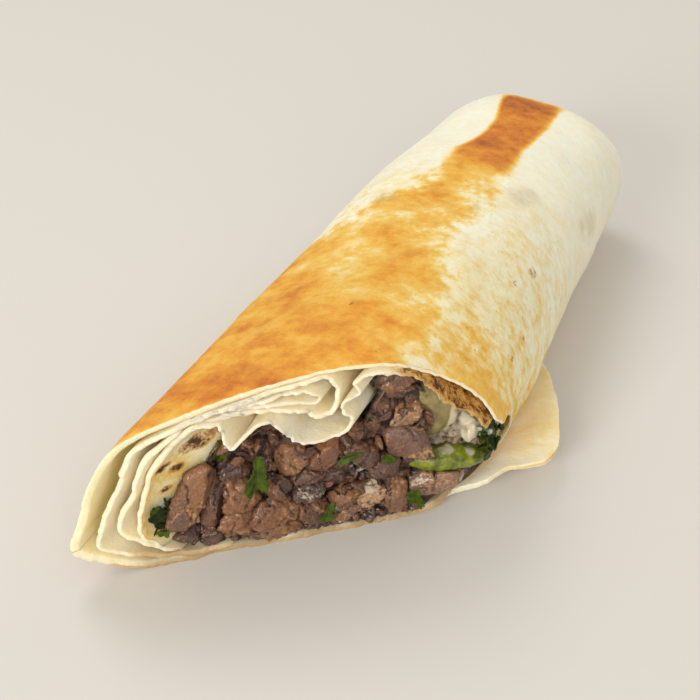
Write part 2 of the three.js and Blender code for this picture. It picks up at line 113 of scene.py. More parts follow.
@dataclass(frozen=True)
class Noise:
    """Smooth, repeatable unevenness in space.

    Attributes:
        seed: Picks one pattern out of many.
    """

    seed: int

    def fixed(self, cell: Array) -> Array:
        """A random number for each whole-number cell, the same every time.

        Args:
            cell: The cells' places, in whole numbers.

        Returns:
            A number from -1 to 1 for each.
        """
        key = cell[..., 0] * 73856093 ^ cell[..., 1] * 19349663 ^ cell[..., 2] * 83492791
        key = (key ^ (self.seed * 2654435761)) & 0xFFFFFFFF
        key = ((key ^ (key >> 15)) * 2246822519) & 0xFFFFFFFF
        key = ((key ^ (key >> 13)) * 3266489917) & 0xFFFFFFFF
        return ((key ^ (key >> 16)) & 0xFFFFFF) / float(0x7FFFFF) - 1.0

    def at(self, points: Array, size: float) -> Array:
        """Noise whose features are about one size across.

        Args:
            points: Places, one along the last axis.
            size: The width of a feature.

        Returns:
            A number from -1 to 1 for each point.
        """
        scaled = points / size + 1000.0
        cell = np.floor(scaled).astype(np.int64)
        part = scaled - cell
        eased = part * part * part * (part * (part * 6.0 - 15.0) + 10.0)
        total = np.zeros(points.shape[:-1])
        for corner in range(8):
            step = np.array([corner & 1, corner >> 1 & 1, corner >> 2 & 1])
            weight = np.prod(np.where(step, eased, 1.0 - eased), axis=-1)
            total += weight * self.fixed(cell + step)
        return total

    def layered(self, points: Array, size: float, layers: int = 3, gain: float = 0.5) -> Array:
        """Noise with finer and weaker layers added, from about -1 to 1.

        Args:
            points: Places, one along the last axis.
            size: The width of the largest features.
            layers: How many sizes are added, each half the one before.
            gain: How strong each layer is beside the one before.

        Returns:
            A number for each point.
        """
        total = np.zeros(points.shape[:-1])
        for layer in range(layers):
            total += gain**layer * Noise(self.seed + 17 * layer).at(points, size / 2**layer)
        return total

    def creased(self, points: Array, size: float) -> Array:
        """Noise with sharp valleys, from 0 in a valley up to 1."""
        return np.abs(self.at(points, size))

    def chips(self, points: Array, size: float) -> tuple[Array, Array, Array]:
        """Packed, flat-faced chips about one size across.

        Args:
            points: Places, one along the last axis.
            size: The width of a chip.

        Returns:
            How high each place lies, from about -1 to 1, a number of its chip's own, from 0 to 1,
            and how far it is from the crack round its chip, from 0 to 1.
        """
        scaled = points / size + 1000.0
        cell = np.floor(scaled).astype(np.int64)
        draws = [Noise(self.seed + 101 * axis) for axis in range(4)]
        first = np.full(points.shape[:-1], 9.0)
        second = first.copy()
        owner = np.zeros_like(cell)
        offset = np.zeros_like(scaled)
        for step in np.ndindex(3, 3, 3):
            corner = cell + np.array(step) - 1
            middle = np.stack([0.5 + 0.45 * draw.fixed(corner) for draw in draws[:3]], -1)
            away = scaled - corner - middle
            apart = np.sqrt((away**2).sum(-1))
            closer = apart < first
            second = np.where(closer, first, np.minimum(second, apart))
            first = np.where(closer, apart, first)
            owner = np.where(closer[..., None], corner, owner)
            offset = np.where(closer[..., None], away, offset)
        own = draws[3].fixed(owner)
        tilt = np.stack([Noise(self.seed + 977 + axis).fixed(owner) for axis in range(3)], -1)
        return 0.4 * own + 0.7 * (tilt * offset).sum(-1), 0.5 + 0.5 * own, np.clip(second - first, 0.0, 1.0)


class SmoothLine:
    """A smooth curve through points, walked along by its share of the length."""

    STEPS = 24

    def __init__(self, points: Line, closed: bool = False) -> None:
        """Works the curve out.

        Args:
            points: The places that it passes through.
            closed: Whether it comes back to its start.
        """
        given = np.array(points, dtype=float)
        if closed:
            padded = np.vstack([given[-1], given, given[0], given[1]])
        else:
            padded = np.vstack([2 * given[0] - given[1], given, 2 * given[-1] - given[-2]])
        pieces = [self._piece(*padded[i : i + 4]) for i in range(len(padded) - 3)]
        self.points = np.vstack([*pieces, given[:1] if closed else given[-1:]])
        steps = np.linalg.norm(np.diff(self.points, axis=0), axis=1)
        self.reached = np.concatenate([[0.0], np.cumsum(steps)])
        self.length = float(self.reached[-1])
        self.closed = closed

    def _piece(self, before: Array, start: Array, end: Array, after: Array) -> Array:
        """The curve's points from start up to end, spaced by the roots of the gaps.

        Args:
            before: The point before start.
            start: Where this piece starts.
            end: Where this piece ends.
            after: The point after end.

        Returns:
            The points, without the last.
        """
        gaps = [np.linalg.norm(b - a) ** 0.5 for a, b in ((before, start), (start, end), (end, after))]
        knots = np.cumsum([0.0, *gaps])
        place = np.linspace(knots[1], knots[2], self.STEPS, endpoint=False)[:, None]

        def blend(low: float, high: float, first: Array, second: Array) -> Array:
            """A point between two others, by where place lies between two knots."""
            return ((high - place) * first + (place - low) * second) / (high - low)

        first = blend(knots[0], knots[1], before, start)
        second = blend(knots[1], knots[2], start, end)
        third = blend(knots[2], knots[3], end, after)
        left = blend(knots[0], knots[2], first, second)
        right = blend(knots[1], knots[3], second, third)
        return blend(knots[1], knots[2], left, right)

    def at(self, share: Array) -> Array:
        """Points on the curve.

        Args:
            share: Their shares of the length, from 0 to 1.

        Returns:
            The points.
        """
        share = np.mod(share, 1.0) if self.closed else share
        axes = range(self.points.shape[1])
        reached = share * self.length
        return np.stack([np.interp(reached, self.reached, self.points[:, k]) for k in axes], -1)


@dataclass(frozen=True)
class Fold:
    """How one measure of the roll closes at its folded end.

    Attributes:
        length: The length over which it closes.
        power: How late it closes.
        root: How blunt its end is.
    """

    length: float
    power: float
    root: float

    def left(self, y: Array, back: float) -> Array:
        """The share that is left at places along the roll, from 1 down to 0 at the back."""
        share = np.clip((y - back + self.length) / self.length, 0.0, 1.0)
        return (1.0 - share**self.power) ** self.root


@dataclass(frozen=True)
class RollForm:
    """The outer form of the roll, as the CAD model has it.

    Attributes:
        half_width: Half its width at the cut.
        height: Its height at the cut.
        front: The place along it of the cut's left tip.
        back: The place along it of its folded end.
        cut_angle: The cut's angle from square, in radians.
        narrowing: How much the half width loses for each millimetre behind the cut.
        sinking: How much the height loses for each millimetre behind the cut.
        spread: How much wider the knife has pressed the cut.
        spread_length: How far back that reaches.
        top_fold: How its top closes at the folded end.
        side_fold: How its sides close there.
        fold_height: The height of the folded end's middle.
        fold_rise: How much its underside rises to that height.
        end_lift: How far the folded end stands off the table.
        lift_length: How far from that end it starts to lift.
        middle_height: The height of its widest line.
        round_power: How square its section is further back, 2 being an ellipse.
        round_length: The length over which it turns from the cut's outline to that section.
        pressed: How much of its underside is pressed flat.
        left_in: How much of its half width the left side loses towards the folded end.
        bread: The thickness of the bread.
        outline: The outline of the cut, from its left tip along the underside.
    """

    half_width: float = 30.0
    height: float = 38.0
    front: float = -75.0
    back: float = 85.0
    cut_angle: float = math.radians(39.0)
    narrowing: float = 0.033
    sinking: float = 0.026
    spread: float = 1.6
    spread_length: float = 40.0
    top_fold: Fold = Fold(24.0, 3.4, 0.5)
    side_fold: Fold = Fold(8.5, 2.2, 0.4)
    fold_height: float = 15.0
    fold_rise: float = 0.8
    end_lift: float = 3.5
    lift_length: float = 45.0
    middle_height: float = 13.0
    round_power: float = 2.3
    round_length: float = 65.0
    pressed: float = 0.5
    left_in: float = 0.25
    bread: float = 1.2
    outline: SmoothLine = SmoothLine(
        (
            (-30, 7.2), (-26.5, 3.2), (-20.5, 0), (-12, 0), (0, 0), (11, 0), (19, 0.8),
            (24.6, 3.4), (28.8, 5.4), (31, 9), (31, 13.5), (30, 18), (27.8, 24), (25, 28.8),
            (20.4, 33.4), (14.5, 37), (6, 38), (-5, 36), (-15, 32.6), (-22.6, 28.6),
            (-26.3, 22), (-28.6, 14),
        ),
        closed=True,
    )

    def cut_y(self, across: Array) -> Array:
        """Where the knife's plane crosses lines along the roll."""
        return self.front + (across + self.half_width) * math.tan(self.cut_angle)

    def behind(self, across: Array, depth: Array) -> Array:
        """Places along the roll at a depth that is measured square to the cut."""
        return self.cut_y(across) + depth / math.cos(self.cut_angle)

    def cut_back(self) -> float:
        """The place along the roll of the cut's right end."""
        return float(self.cut_y(self.half_width))

    def cut_normal(self) -> Array:
        """The direction that the cut faces."""
        return np.array([math.sin(self.cut_angle), -math.cos(self.cut_angle), 0.0])

    def girth(self, y: Array) -> tuple[Array, Array, Array]:
        """The roll's half width, underside and top.

        Args:
            y: Places along the roll.

        Returns:
            The three heights or widths at each place.
        """
        along = np.maximum(y - self.cut_back(), 0.0)
        spread = self.spread * ease(along, 0.0, self.spread_length)
        lift = self.end_lift * ease(y, self.back - self.lift_length, self.back)
        open_top = self.top_fold.left(y, self.back)
        wide = self.half_width - spread - self.narrowing * along
        under = lift + (self.fold_height - lift) * (1.0 - open_top) * self.fold_rise
        top = self.fold_height + (self.height - self.sinking * along - self.fold_height) * open_top
        return wide * self.side_fold.left(y, self.back), under, top

    def _outline_reach(self, across: Array, rise: Array) -> Array:
        """How far the cut's outline reaches from its middle in the direction of points."""
        x, z = self.outline.points[:, 0], self.outline.points[:, 1] - self.middle_height
        return np.interp(np.arctan2(rise, across), np.arctan2(z, x), np.hypot(x, z), period=2 * math.pi)

    def _rounded(self, across: Array, height: Array, share: Array) -> tuple[Array, Array]:
        """Points of the cut as they lie in the rounder section further back.

        Args:
            across: Their places across the cut.
            height: Their heights on the cut.
            share: How much of the rounding each one has.

        Returns:
            Their places across and their heights.
        """
        rise = height - self.middle_height
        distance = np.maximum(np.hypot(across, rise), 1e-6)
        room = np.where(rise > 0, self.height - self.middle_height, self.middle_height + self.pressed)
        sides = (np.abs(across) / distance / self.half_width) ** self.round_power
        sides = sides + (np.abs(rise) / distance / room) ** self.round_power
        round_reach = sides ** (-1.0 / self.round_power)
        scale = 1.0 + (round_reach / self._outline_reach(across, rise) - 1.0) * share
        return across * scale, np.maximum(self.middle_height + rise * scale, 0.0)

    def place(self, across: Array, height: Array, y: Array) -> Array:
        """Points of the cut, carried back along the roll.

        Args:
            across: Their places across the cut.
            height: Their heights on the cut.
            y: How far along the roll each one goes.

        Returns:
            The points in space.
        """
        across, height, y = np.broadcast_arrays(across, height, y)
        wide, under, top = self.girth(y)
        rounding = ease(y, self.cut_back(), self.cut_back() + self.round_length)
        across, height = self._rounded(across, height, rounding)
        wide = wide * (1.0 - self.left_in * ease(y, 36.0, 84.0) * ease(across, 0.0, -20.0))
        rise = height * (top - under) / self.height
        return stacked(across * wide / self.half_width, y, under + rise)

    def skin(self, share: Array, y: Array) -> Array:
        """Points on the roll's outside.

        Args:
            share: The share of the way round the outline, from the left tip along the underside.
            y: Places along the roll.

        Returns:
            The points in space.
        """
        cut = self.outline.at(share)
        return self.place(cut[..., 0], cut[..., 1], y)


ROLL = RollForm()


class Slot(Enum):
    """The record's material slots."""

    BREAD = "flatbread"
    MEAT = "meat"
    PICKLE = "pickle"
    ONION = "onion"
    RIB = "green_rib"
    HERB = "herb"


@dataclass
class Shape:
    """A mesh in the making, in millimetres in design coordinates.

    Attributes:
        points: Its points.
        faces: Arrays of faces, each with rows of as many corners as its faces have.
        fields: Named numbers at the points, or one for all of them, for the finish to read.
        flat: Where each point lies on the unrolled sheet, in millimetres.
    """

    points: Array
    faces: list[Array]
    fields: dict[str, Array | float] = field(default_factory=dict)
    flat: Array | None = None

    def normals(self) -> Array:
        """Works out which way the surface faces.

        Returns:
            The direction out of it at each point, from the faces round the point.
        """
        total = np.zeros_like(self.points)
        for group in self.faces:
            a, b, c = (self.points[group[:, k]] for k in (0, 1, 2))
            facing = np.cross(b - a, c - a)
            if group.shape[1] == 4:
                facing = np.cross(c - a, self.points[group[:, 3]] - b)
            for corner in range(group.shape[1]):
                np.add.at(total, group[:, corner], facing)
        return unit(total)

    def pushed(self, distance: Array) -> "Shape":
        """The shape with each point moved out along its normal by a distance."""
        moved = self.points + self.normals() * distance[:, None]
        return Shape(moved, self.faces, self.fields, self.flat)

    def outward(self) -> "Shape":
        """Turns every face of the closed shape to look out of it.

        Returns:
            The shape itself.
        """
        volume = 0.0
        for group in self.faces:
            for corner in range(1, group.shape[1] - 1):
                a, b, c = (self.points[group[:, k]] for k in (0, corner, corner + 1))
                volume += (a * np.cross(b, c)).sum()
        if volume < 0:
            self.faces = [group[:, ::-1] for group in self.faces]
        return self

    @classmethod
    def gathered(cls, shapes: list["Shape"]) -> "Shape":
        """One shape that holds many of the same kind.

        Args:
            shapes: The shapes, with the same fields and groups of faces.

        Returns:
            The joined shape.
        """
        starts = np.cumsum([0, *(len(shape.points) for shape in shapes[:-1])])
        groups = range(len(shapes[0].faces))
        faces = [np.vstack([shape.faces[k] + start for shape, start in zip(shapes, starts)]) for k in groups]
        fields = {}
        for name in shapes[0].fields:
            parts = [np.broadcast_to(shape.fields[name], len(shape.points)) for shape in shapes]
            fields[name] = np.concatenate(parts)
        return cls(np.vstack([shape.points for shape in shapes]), faces, fields)

    def made(self, name: str, slot: Slot, material: Material) -> bpy.types.Object:
        """The finished object, riding on the part.

        Args:
            name: The object's name.
            slot: The record's slot; not used.
            material: Its finish.

        Returns:
            The object.
        """
        self.outward()
        mesh = bpy.data.meshes.new(name)
        corners = np.concatenate([group.ravel() for group in self.faces]).astype(np.int32)
        sizes = np.concatenate([np.full(len(group), group.shape[1]) for group in self.faces])
        starts = np.concatenate([[0], np.cumsum(sizes)[:-1]]).astype(np.int32)
        mesh.vertices.add(len(self.points))
        mesh.vertices.foreach_set("co", ((self.points + SHIFT) * MM).astype(np.float32).ravel())
        mesh.loops.add(len(corners))
        mesh.loops.foreach_set("vertex_index", corners)
        mesh.polygons.add(len(sizes))
        mesh.polygons.foreach_set("loop_start", starts)
        mesh.update(calc_edges=True)
        mesh.polygons.foreach_set("use_smooth", np.ones(len(sizes), dtype=bool))
        for title, values in self.fields.items():
            store = mesh.attributes.new(title, "FLOAT", "POINT")
            spread = np.broadcast_to(values, len(self.points))
            store.data.foreach_set("value", spread.astype(np.float32))
        if self.flat is not None:
            layer = mesh.uv_layers.new(name="Sheet")
            layer.data.foreach_set("uv", (self.flat[corners] * SHEET_UNIT).astype(np.float32).ravel())
        mesh.validate()
        mesh.materials.append(material)
        piece = bpy.data.objects.new(name, mesh)
        bpy.context.scene.collection.objects.link(piece)
        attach(piece, BODY)
        log.info("%s: %d points, %d faces", name, len(self.points), len(sizes))
        return piece


def grid_faces(rows: int, columns: int, closed: bool, first: int = 0, flip: bool = False) -> Array:
    """The four-sided faces of a grid of points stored row by row.

    Args:
        rows: How many rows it has.
        columns: How many columns it has.
        closed: Whether the last column joins the first.
        first: The number of its first point.
        flip: Whether the faces turn the other way.

    Returns:
        The faces.
    """
    row, column = np.meshgrid(np.arange(rows - 1), np.arange(columns - (not closed)), indexing="ij")
    beside = (column + 1) % columns
    corners = [row * columns + column, row * columns + beside]
    corners += [(row + 1) * columns + beside, (row + 1) * columns + column]
    faces = np.stack(corners, -1).reshape(-1, 4) + first
    return faces[:, ::-1] if flip else faces


def fan(ring: Array, tip: int, flip: bool = False) -> Array:
    """The triangles from a closed ring of points to one point.

    Args:
        ring: The numbers of the ring's points.
        tip: The number of the point where they meet.
        flip: Whether the triangles turn the other way.

    Returns:
        The triangles.
    """
    beside = np.roll(ring, -1)
    sides = [beside, ring] if flip else [ring, beside]
    return np.stack([*sides, np.full(len(ring), tip)], -1)


def between_rings(first: Array, second: Array) -> Array:
    """The four-sided faces between two closed rings of points, given by their numbers."""
    return np.stack([np.roll(first, -1), first, second, np.roll(second, -1)], -1)


def graded(length: float, fine: float, coarse: float, growth: float = 1.12) -> Array:
    """Distances from 0 to a length, close together at first and then further apart.

    Args:
        length: The last distance.
        fine: The first gap.
        coarse: The widest gap.
        growth: How much each gap grows over the one before.

    Returns:
        The distances.
    """
    reached = [0.0]
    gap = fine
    while reached[-1] < length:
        reached.append(reached[-1] + gap)
        gap = min(gap * growth, coarse)
    return np.array(reached) * (length / reached[-1])


# Shader building


class Sock:
    """A shader socket in an expression."""

    def __init__(self, graph: "Graph", socket: Socket) -> None:
        """Keeps the socket and the graph that it is in."""
        self.graph = graph
        self.socket = socket

    def __add__(self, other: "Sock | float") -> "Sock":
        """The sum."""
        return self.graph.math("ADD", self, other)

    def __sub__(self, other: "Sock | float") -> "Sock":
        """The difference."""
        return self.graph.math("SUBTRACT", self, other)

    def __rsub__(self, other: float) -> "Sock":
        """The difference, with the number first."""
        return self.graph.math("SUBTRACT", other, self)

    def __mul__(self, other: "Sock | float") -> "Sock":
        """The product."""
        return self.graph.math("MULTIPLY", self, other)

    def larger(self, other: "Sock | float") -> "Sock":
        """The larger of the two."""
        return self.graph.math("MAXIMUM", self, other)

    __radd__ = __add__
    __rmul__ = __mul__


class Graph:
    """The nodes of one material.

    Attributes:
        EASED: The setting that makes a Map Range node ease its value.
    """

    EASED = {"interpolation_type": "SMOOTHSTEP"}

    def __init__(self, name: str) -> None:
        """Starts a material with one surface shader.

        Args:
            name: The material's name.
        """
        self.material = bpy.data.materials.new(name)
        self.material.use_nodes = True
        self.tree = self.material.node_tree
        self.tree.nodes.clear()
        self.surface = self.node("ShaderNodeBsdfPrincipled")
        output = self.node("ShaderNodeOutputMaterial")
        self.tree.links.new(self.surface.outputs["BSDF"], output.inputs["Surface"])

    def node(self, kind: str, settings: dict | None = None, inputs: dict | None = None) -> bpy.types.Node:
        """A new node.

        Args:
            kind: Its type.
            settings: Its own settings, with a ramp's stops under "stops".
            inputs: What goes into its sockets, by name or number.

        Returns:
            The node.
        """
        made = self.tree.nodes.new(kind)
        for key, value in (settings or {}).items():
            if key == "stops":
                self._set_stops(made.color_ramp, value)
            else:
                setattr(made, key, value)
        for key, value in (inputs or {}).items():
            self._feed(made.inputs[key], value)
        return made

    def _set_stops(self, ramp: bpy.types.ColorRamp, stops: Stops) -> None:
        """Gives a ramp its stops.

        Args:
            ramp: The ramp.
            stops: Its stops, as places and colours.
        """
        while len(ramp.elements) < len(stops):
            ramp.elements.new(1.0)
        for element, (place, colour) in zip(ramp.elements, stops):
            element.position = place
            element.color = (*colour, 1.0)

    def _feed(self, socket: Socket, value: object) -> None:
        """Links a socket to another, or sets it.

        Args:
            socket: The socket.
            value: Another socket, a number, a colour or a vector.
        """
        if isinstance(value, Sock):
            self.tree.links.new(value.socket, socket)
        elif isinstance(value, tuple) and len(value) == 3 and socket.type == "RGBA":
            socket.default_value = (*value, 1.0)
        else:
            socket.default_value = value

    def math(self, operation: str, first: "Sock | float", second: "Sock | float") -> Sock:
        """A sum, product or the like of two values."""
        made = self.node("ShaderNodeMath", {"operation": operation}, {0: first, 1: second})
        return Sock(self, made.outputs[0])

    def field(self, name: str) -> Sock:
        """A number that the mesh carries at its points."""
        made = self.node("ShaderNodeAttribute", {"attribute_name": name})
        return Sock(self, made.outputs["Fac"])

    def _scaled(self, socket: Socket, scale: Place) -> Sock:
        """A vector times another, axis by axis."""
        inputs = {0: Sock(self, socket), 1: scale}
        return Sock(self, self.node("ShaderNodeVectorMath", {"operation": "MULTIPLY"}, inputs).outputs[0])

    def sheet(self, stretch: float) -> Sock:
        """Places on the unrolled sheet in millimetres.

        Args:
            stretch: How many times longer patterns are across the roll than along it.

        Returns:
            The places.
        """
        made = self.node("ShaderNodeUVMap", {"uv_map": "Sheet"})
        scale = 1.0 / SHEET_UNIT
        return self._scaled(made.outputs[0], (scale / stretch, scale, 0.0))

    def space(self) -> Sock:
        """Places in the part's space, in millimetres."""
        made = self.node("ShaderNodeTexCoord")
        return self._scaled(made.outputs["Object"], (1 / MM, 1 / MM, 1 / MM))

    def noise(self, place: Sock, size: float, detail: float, rough: float) -> Sock:
        """Cloudy noise from 0 to 1, with features one size across."""
        inputs = {"Vector": place, "Scale": 1.0 / size, "Detail": detail, "Roughness": rough}
        return Sock(self, self.node("ShaderNodeTexNoise", None, inputs).outputs["Fac"])

    def cells(self, place: Sock, size: float) -> Sock:
        """The distance to the nearest of scattered points, in their spacing."""
        made = self.node("ShaderNodeTexVoronoi", None, {"Vector": place, "Scale": 1.0 / size})
        return Sock(self, made.outputs["Distance"])

    def between(self, value: Sock, low: float, high: float) -> Sock:
        """Eases a value from 0 at low to 1 at high."""
        inputs = {"Value": value, "From Min": low, "From Max": high}
        return Sock(self, self.node("ShaderNodeMapRange", self.EASED, inputs).outputs["Result"])

    def ramp(self, value: Sock, stops: Stops) -> Sock:
        """Colours by a value, through stops."""
        made = self.node("ShaderNodeValToRGB", {"stops": stops}, {"Fac": value})
        return Sock(self, made.outputs["Color"])

    def mix(self, share: "Sock | float", first: "Sock | Colour", second: "Sock | Colour",
            how: str = "MIX") -> Sock:
        """Two colours mixed.

        Args:
            share: How much of the second.
            first: The first colour.
            second: The second colour.
            how: The way of mixing.

        Returns:
            The mixed colour.
        """
        settings = {"data_type": "RGBA", "blend_type": how}
        made = self.node("ShaderNodeMix", settings, {"Factor": share, 6: first, 7: second})
        return Sock(self, made.outputs[2])

    def bump(self, height: Sock, depth: float, under: "Sock | None" = None) -> Sock:
        """A normal roughened by a height.

        Args:
            height: The height, where 1 is one depth high.
            depth: The depth in millimetres.
            under: A normal to roughen further.

        Returns:
            The normal.
        """
        inputs = {"Height": height, "Distance": depth * MM, "Strength": 1.0}
        if under is not None:
            inputs["Normal"] = under
        return Sock(self, self.node("ShaderNodeBump", None, inputs).outputs["Normal"])

    def finish(self, **inputs: object) -> Material:
        """Feeds the surface shader, with _ for each space in a socket's name.

        Args:
            inputs: What goes into its sockets.

        Returns:
            The material.
        """
        for key, value in inputs.items():
            self._feed(self.surface.inputs[key.replace("_", " ")], value)
        return self.material


def srgb(red: int, green: int, blue: int) -> Colour:
    """A colour as shown on a screen, in the light's own scale."""
    parts = [value / 255.0 for value in (red, green, blue)]
    return tuple(v / 12.92 if v <= 0.04045 else ((v + 0.055) / 1.055) ** 2.4 for v in parts)


@dataclass(frozen=True)
class BreadFinish:
    """Thin baked flatbread: pale and floury, golden to brown where it touched the grill.

    Attributes:
        stops: Its colours from unbaked to brown.
        crumb: The colour of its torn and cut edges.
        rind: The colour of the thin baked skin where it is cut.
        scorch: The brown round its scorched spots.
        char: The colour of its scorched spots.
        stain: The colour where the filling shows through, also laid as painted shade along the low rims and
            the low lining.
    """

    stops: Stops = (
        (0.0, srgb(250, 240, 215)),
        (0.2, srgb(245, 219, 168)),
        (0.4, srgb(236, 184, 88)),
        (0.6, srgb(224, 154, 52)),
        (0.8, srgb(198, 114, 36)),
        (1.0, srgb(136, 70, 24)),
    )
    crumb: Colour = srgb(243, 225, 188)
    rind: Colour = srgb(188, 144, 94)
    scorch: Colour = srgb(164, 112, 62)
    char: Colour = srgb(48, 28, 14)
    stain: Colour = srgb(142, 122, 92)

    def made(self) -> Material:
        """Makes the material.

        Returns:
            The material.
        """
        graph = Graph("flatbread")
        sheet = graph.sheet(1.2)
        streaks = graph.noise(graph.sheet(2.4), 7.0, 5.0, 0.62)
        clouds = graph.noise(sheet, 5.5, 5.0, 0.6)
        mottle = graph.noise(sheet, 1.9, 5.0, 0.56)
        grain = graph.noise(sheet, 0.5, 3.0, 0.65)
        toast = graph.field("toast")
        unevenness = (streaks - 0.5) * 0.5 + (clouds - 0.5) * 0.6
        unevenness = unevenness + (mottle - 0.5) * 0.3 + (grain - 0.5) * 0.14
        browned = toast + unevenness * graph.between(toast, 0.0, 0.4) * 0.7
        blotches = graph.between(mottle + (clouds - 0.5) * 0.9, 0.26, 0.8) + (grain - 0.5) * 0.7
        blotchy = graph.field("blotch") * (1.0 - graph.between(toast, 0.25, 0.45) * 0.7)
        browned = browned + (blotches - 0.38) * blotchy * 0.26
        colour = graph.ramp(browned, self.stops)
        # Real stains where the filling shows through, plus painted shade along the low rims and the low
        # lining
        stained = graph.field("stain") * graph.between(clouds, 0.2, 0.55)
        colour = graph.mix(stained * 0.8, colour, self.stain)
        edge = graph.field("edge")
        specks = graph.between(graph.cells(sheet, 3.4), 0.07, 0.03)
        specks = specks * graph.between(graph.field("blotch"), 0.4, 0.6)
        patchy = (mottle - 0.5) * 1.7 + (grain - 0.5) * 0.9
        scorched = graph.field("char") + patchy * graph.between(graph.field("char"), 0.0, 0.3)
        burnt = graph.between(scorched, 0.42, 0.66)
        colour = graph.mix(graph.between(scorched, 0.05, 0.45) * 0.8, colour, self.scorch)
        colour = graph.mix((specks * 0.4).larger(burnt * 0.9), colour, self.char)
        # Rind brown where toasted, and where the stain field is high, which along the low rims is painted
        # shade
        baked = graph.between(toast, 0.12, 0.24).larger(graph.between(graph.field("stain"), 0.3, 0.9))
        worn = edge + (grain - 0.5) * 0.5
        colour = graph.mix(graph.between(worn, 0.12, 0.4) * baked * 0.62, colour, self.rind)
        colour = graph.mix(graph.between(worn, 0.5, 0.85) * 0.8, colour, self.crumb)
        pits = graph.noise(sheet, 0.34, 2.0, 0.6)
        normal = graph.bump(clouds, 0.5)
        normal = graph.bump(mottle, 0.14, normal)
        normal = graph.bump(pits, 0.07, normal)
        return graph.finish(
            Base_Color=colour,
            Roughness=0.72 + (mottle - 0.5) * 0.2,
            Normal=normal,
            Specular_IOR_Level=0.3,
            Subsurface_Weight=0.6,
            Subsurface_Radius=(1.0, 0.74, 0.4),
            Subsurface_Scale=0.005,
        )


@dataclass(frozen=True)
class MeatFinish:
    """Chopped roast meat: mauve grey where cut, tan and brown outside, and moist.

    Attributes:
        mauve: The colour of its cut faces.
        tan: The colour of its roasted parts.
        pale: The colour of its lightest parts.
        shade: What its darkest pieces are multiplied by; their darkness is partly their own tone and partly
            painted shade where they lie in shadow.
        hollow: The colour of the painted shade down in its cracks, in the gaps between its slices and on its
            parts that lie deep behind the cut.
        rim: The tan where a cut face meets the roasted outside.
        fat: The colour of its fat.
        sauce: The colour of the sauce on it.
        spice: The colour of its roasted spice.
        flake: The colour of its pepper flakes.
    """

    mauve: Colour = srgb(105, 73, 60)
    tan: Colour = srgb(134, 86, 49)
    pale: Colour = srgb(192, 152, 112)
    shade: Colour = (0.3, 0.26, 0.27)
    hollow: Colour = srgb(30, 16, 9)
    rim: Colour = srgb(186, 140, 92)
    fat: Colour = srgb(226, 210, 188)
    sauce: Colour = srgb(196, 182, 156)
    spice: Colour = srgb(44, 26, 16)
    flake: Colour = srgb(134, 30, 18)

    def made(self) -> Material:
        """Makes the material.

        Returns:
            The material.
        """
        graph = Graph("roast_meat")
        space = graph.space()
        cloud = graph.noise(space, 2.4, 4.0, 0.6)
        fine = graph.noise(space, 0.5, 3.0, 0.62)
        grain = graph.noise(space, 0.2, 2.0, 0.6)
        crumb = graph.field("crumb")
        warm = graph.field("warm") + (cloud - 0.5) * 1.2 + (crumb - 0.5) * 0.5 + (fine - 0.5) * 0.8
        colour = graph.mix(graph.between(warm, 0.05, 0.95), self.mauve, self.tan)
        lighter = graph.field("pale") + (fine - 0.5) * 1.1 + (grain - 0.5) * 0.7 + graph.field("fibre") * 0.2
        colour = graph.mix(graph.between(lighter, 0.2, 1.2), colour, self.pale)
        # Darker by the dark field: partly the meat's own tone, partly painted shade on pieces and core that
        # lie in shadow
        darker = graph.field("dark") + (cloud - 0.5) * 0.9 - (fine - 0.5) * 0.8 - (grain - 0.5) * 0.5
        dimmed = graph.mix(1.0, colour, self.shade, "MULTIPLY")
        colour = graph.mix(graph.between(darker, -0.1, 1.15), colour, dimmed)
        colour = graph.mix(graph.field("rim") * graph.between(fine, 0.32, 0.56), colour, self.rim)
        spice = graph.between(graph.cells(space, 1.0), 0.2, 0.1)
        colour = graph.mix(spice * 0.35 * graph.field("spice"), colour, self.spice)
        flakes = graph.between(graph.cells(space, 4.6), 0.1, 0.07)
        colour = graph.mix(flakes * 0.75, colour, self.flake)
        fat = graph.between(graph.field("fat") + (fine - 0.5) * 1.4 + (cloud - 0.5) * 1.2, 0.5, 0.95)
        colour = graph.mix(fat * 0.7, colour, self.fat)
        # Painted shade: darker down in cracks, in the gaps between slices, on parts deep behind the cut and
        # over the core
        hollow = graph.between(graph.field("hollow") + (fine - 0.5) * 0.3, 0.2, 0.95)
        colour = graph.mix(hollow * 0.85, colour, self.hollow)
        smeared = graph.between(graph.field("sauce") + (fine - 0.5) * 0.5 + (cloud - 0.5) * 0.4, 0.3, 0.75)
        colour = graph.mix(smeared * 0.72, colour, self.sauce)
        normal = graph.bump(fine, 0.45)
        normal = graph.bump(grain, 0.16, normal)
        return graph.finish(
            Base_Color=colour,
            Roughness=0.34 + graph.field("spice") * 0.2 + (cloud - 0.5) * 0.4,
            Normal=normal,
            Subsurface_Weight=0.1,
            Subsurface_Radius=(1.0, 0.4, 0.25),
            Subsurface_Scale=0.0008,
            Coat_Weight=0.45,
            Coat_Roughness=0.16,
        )


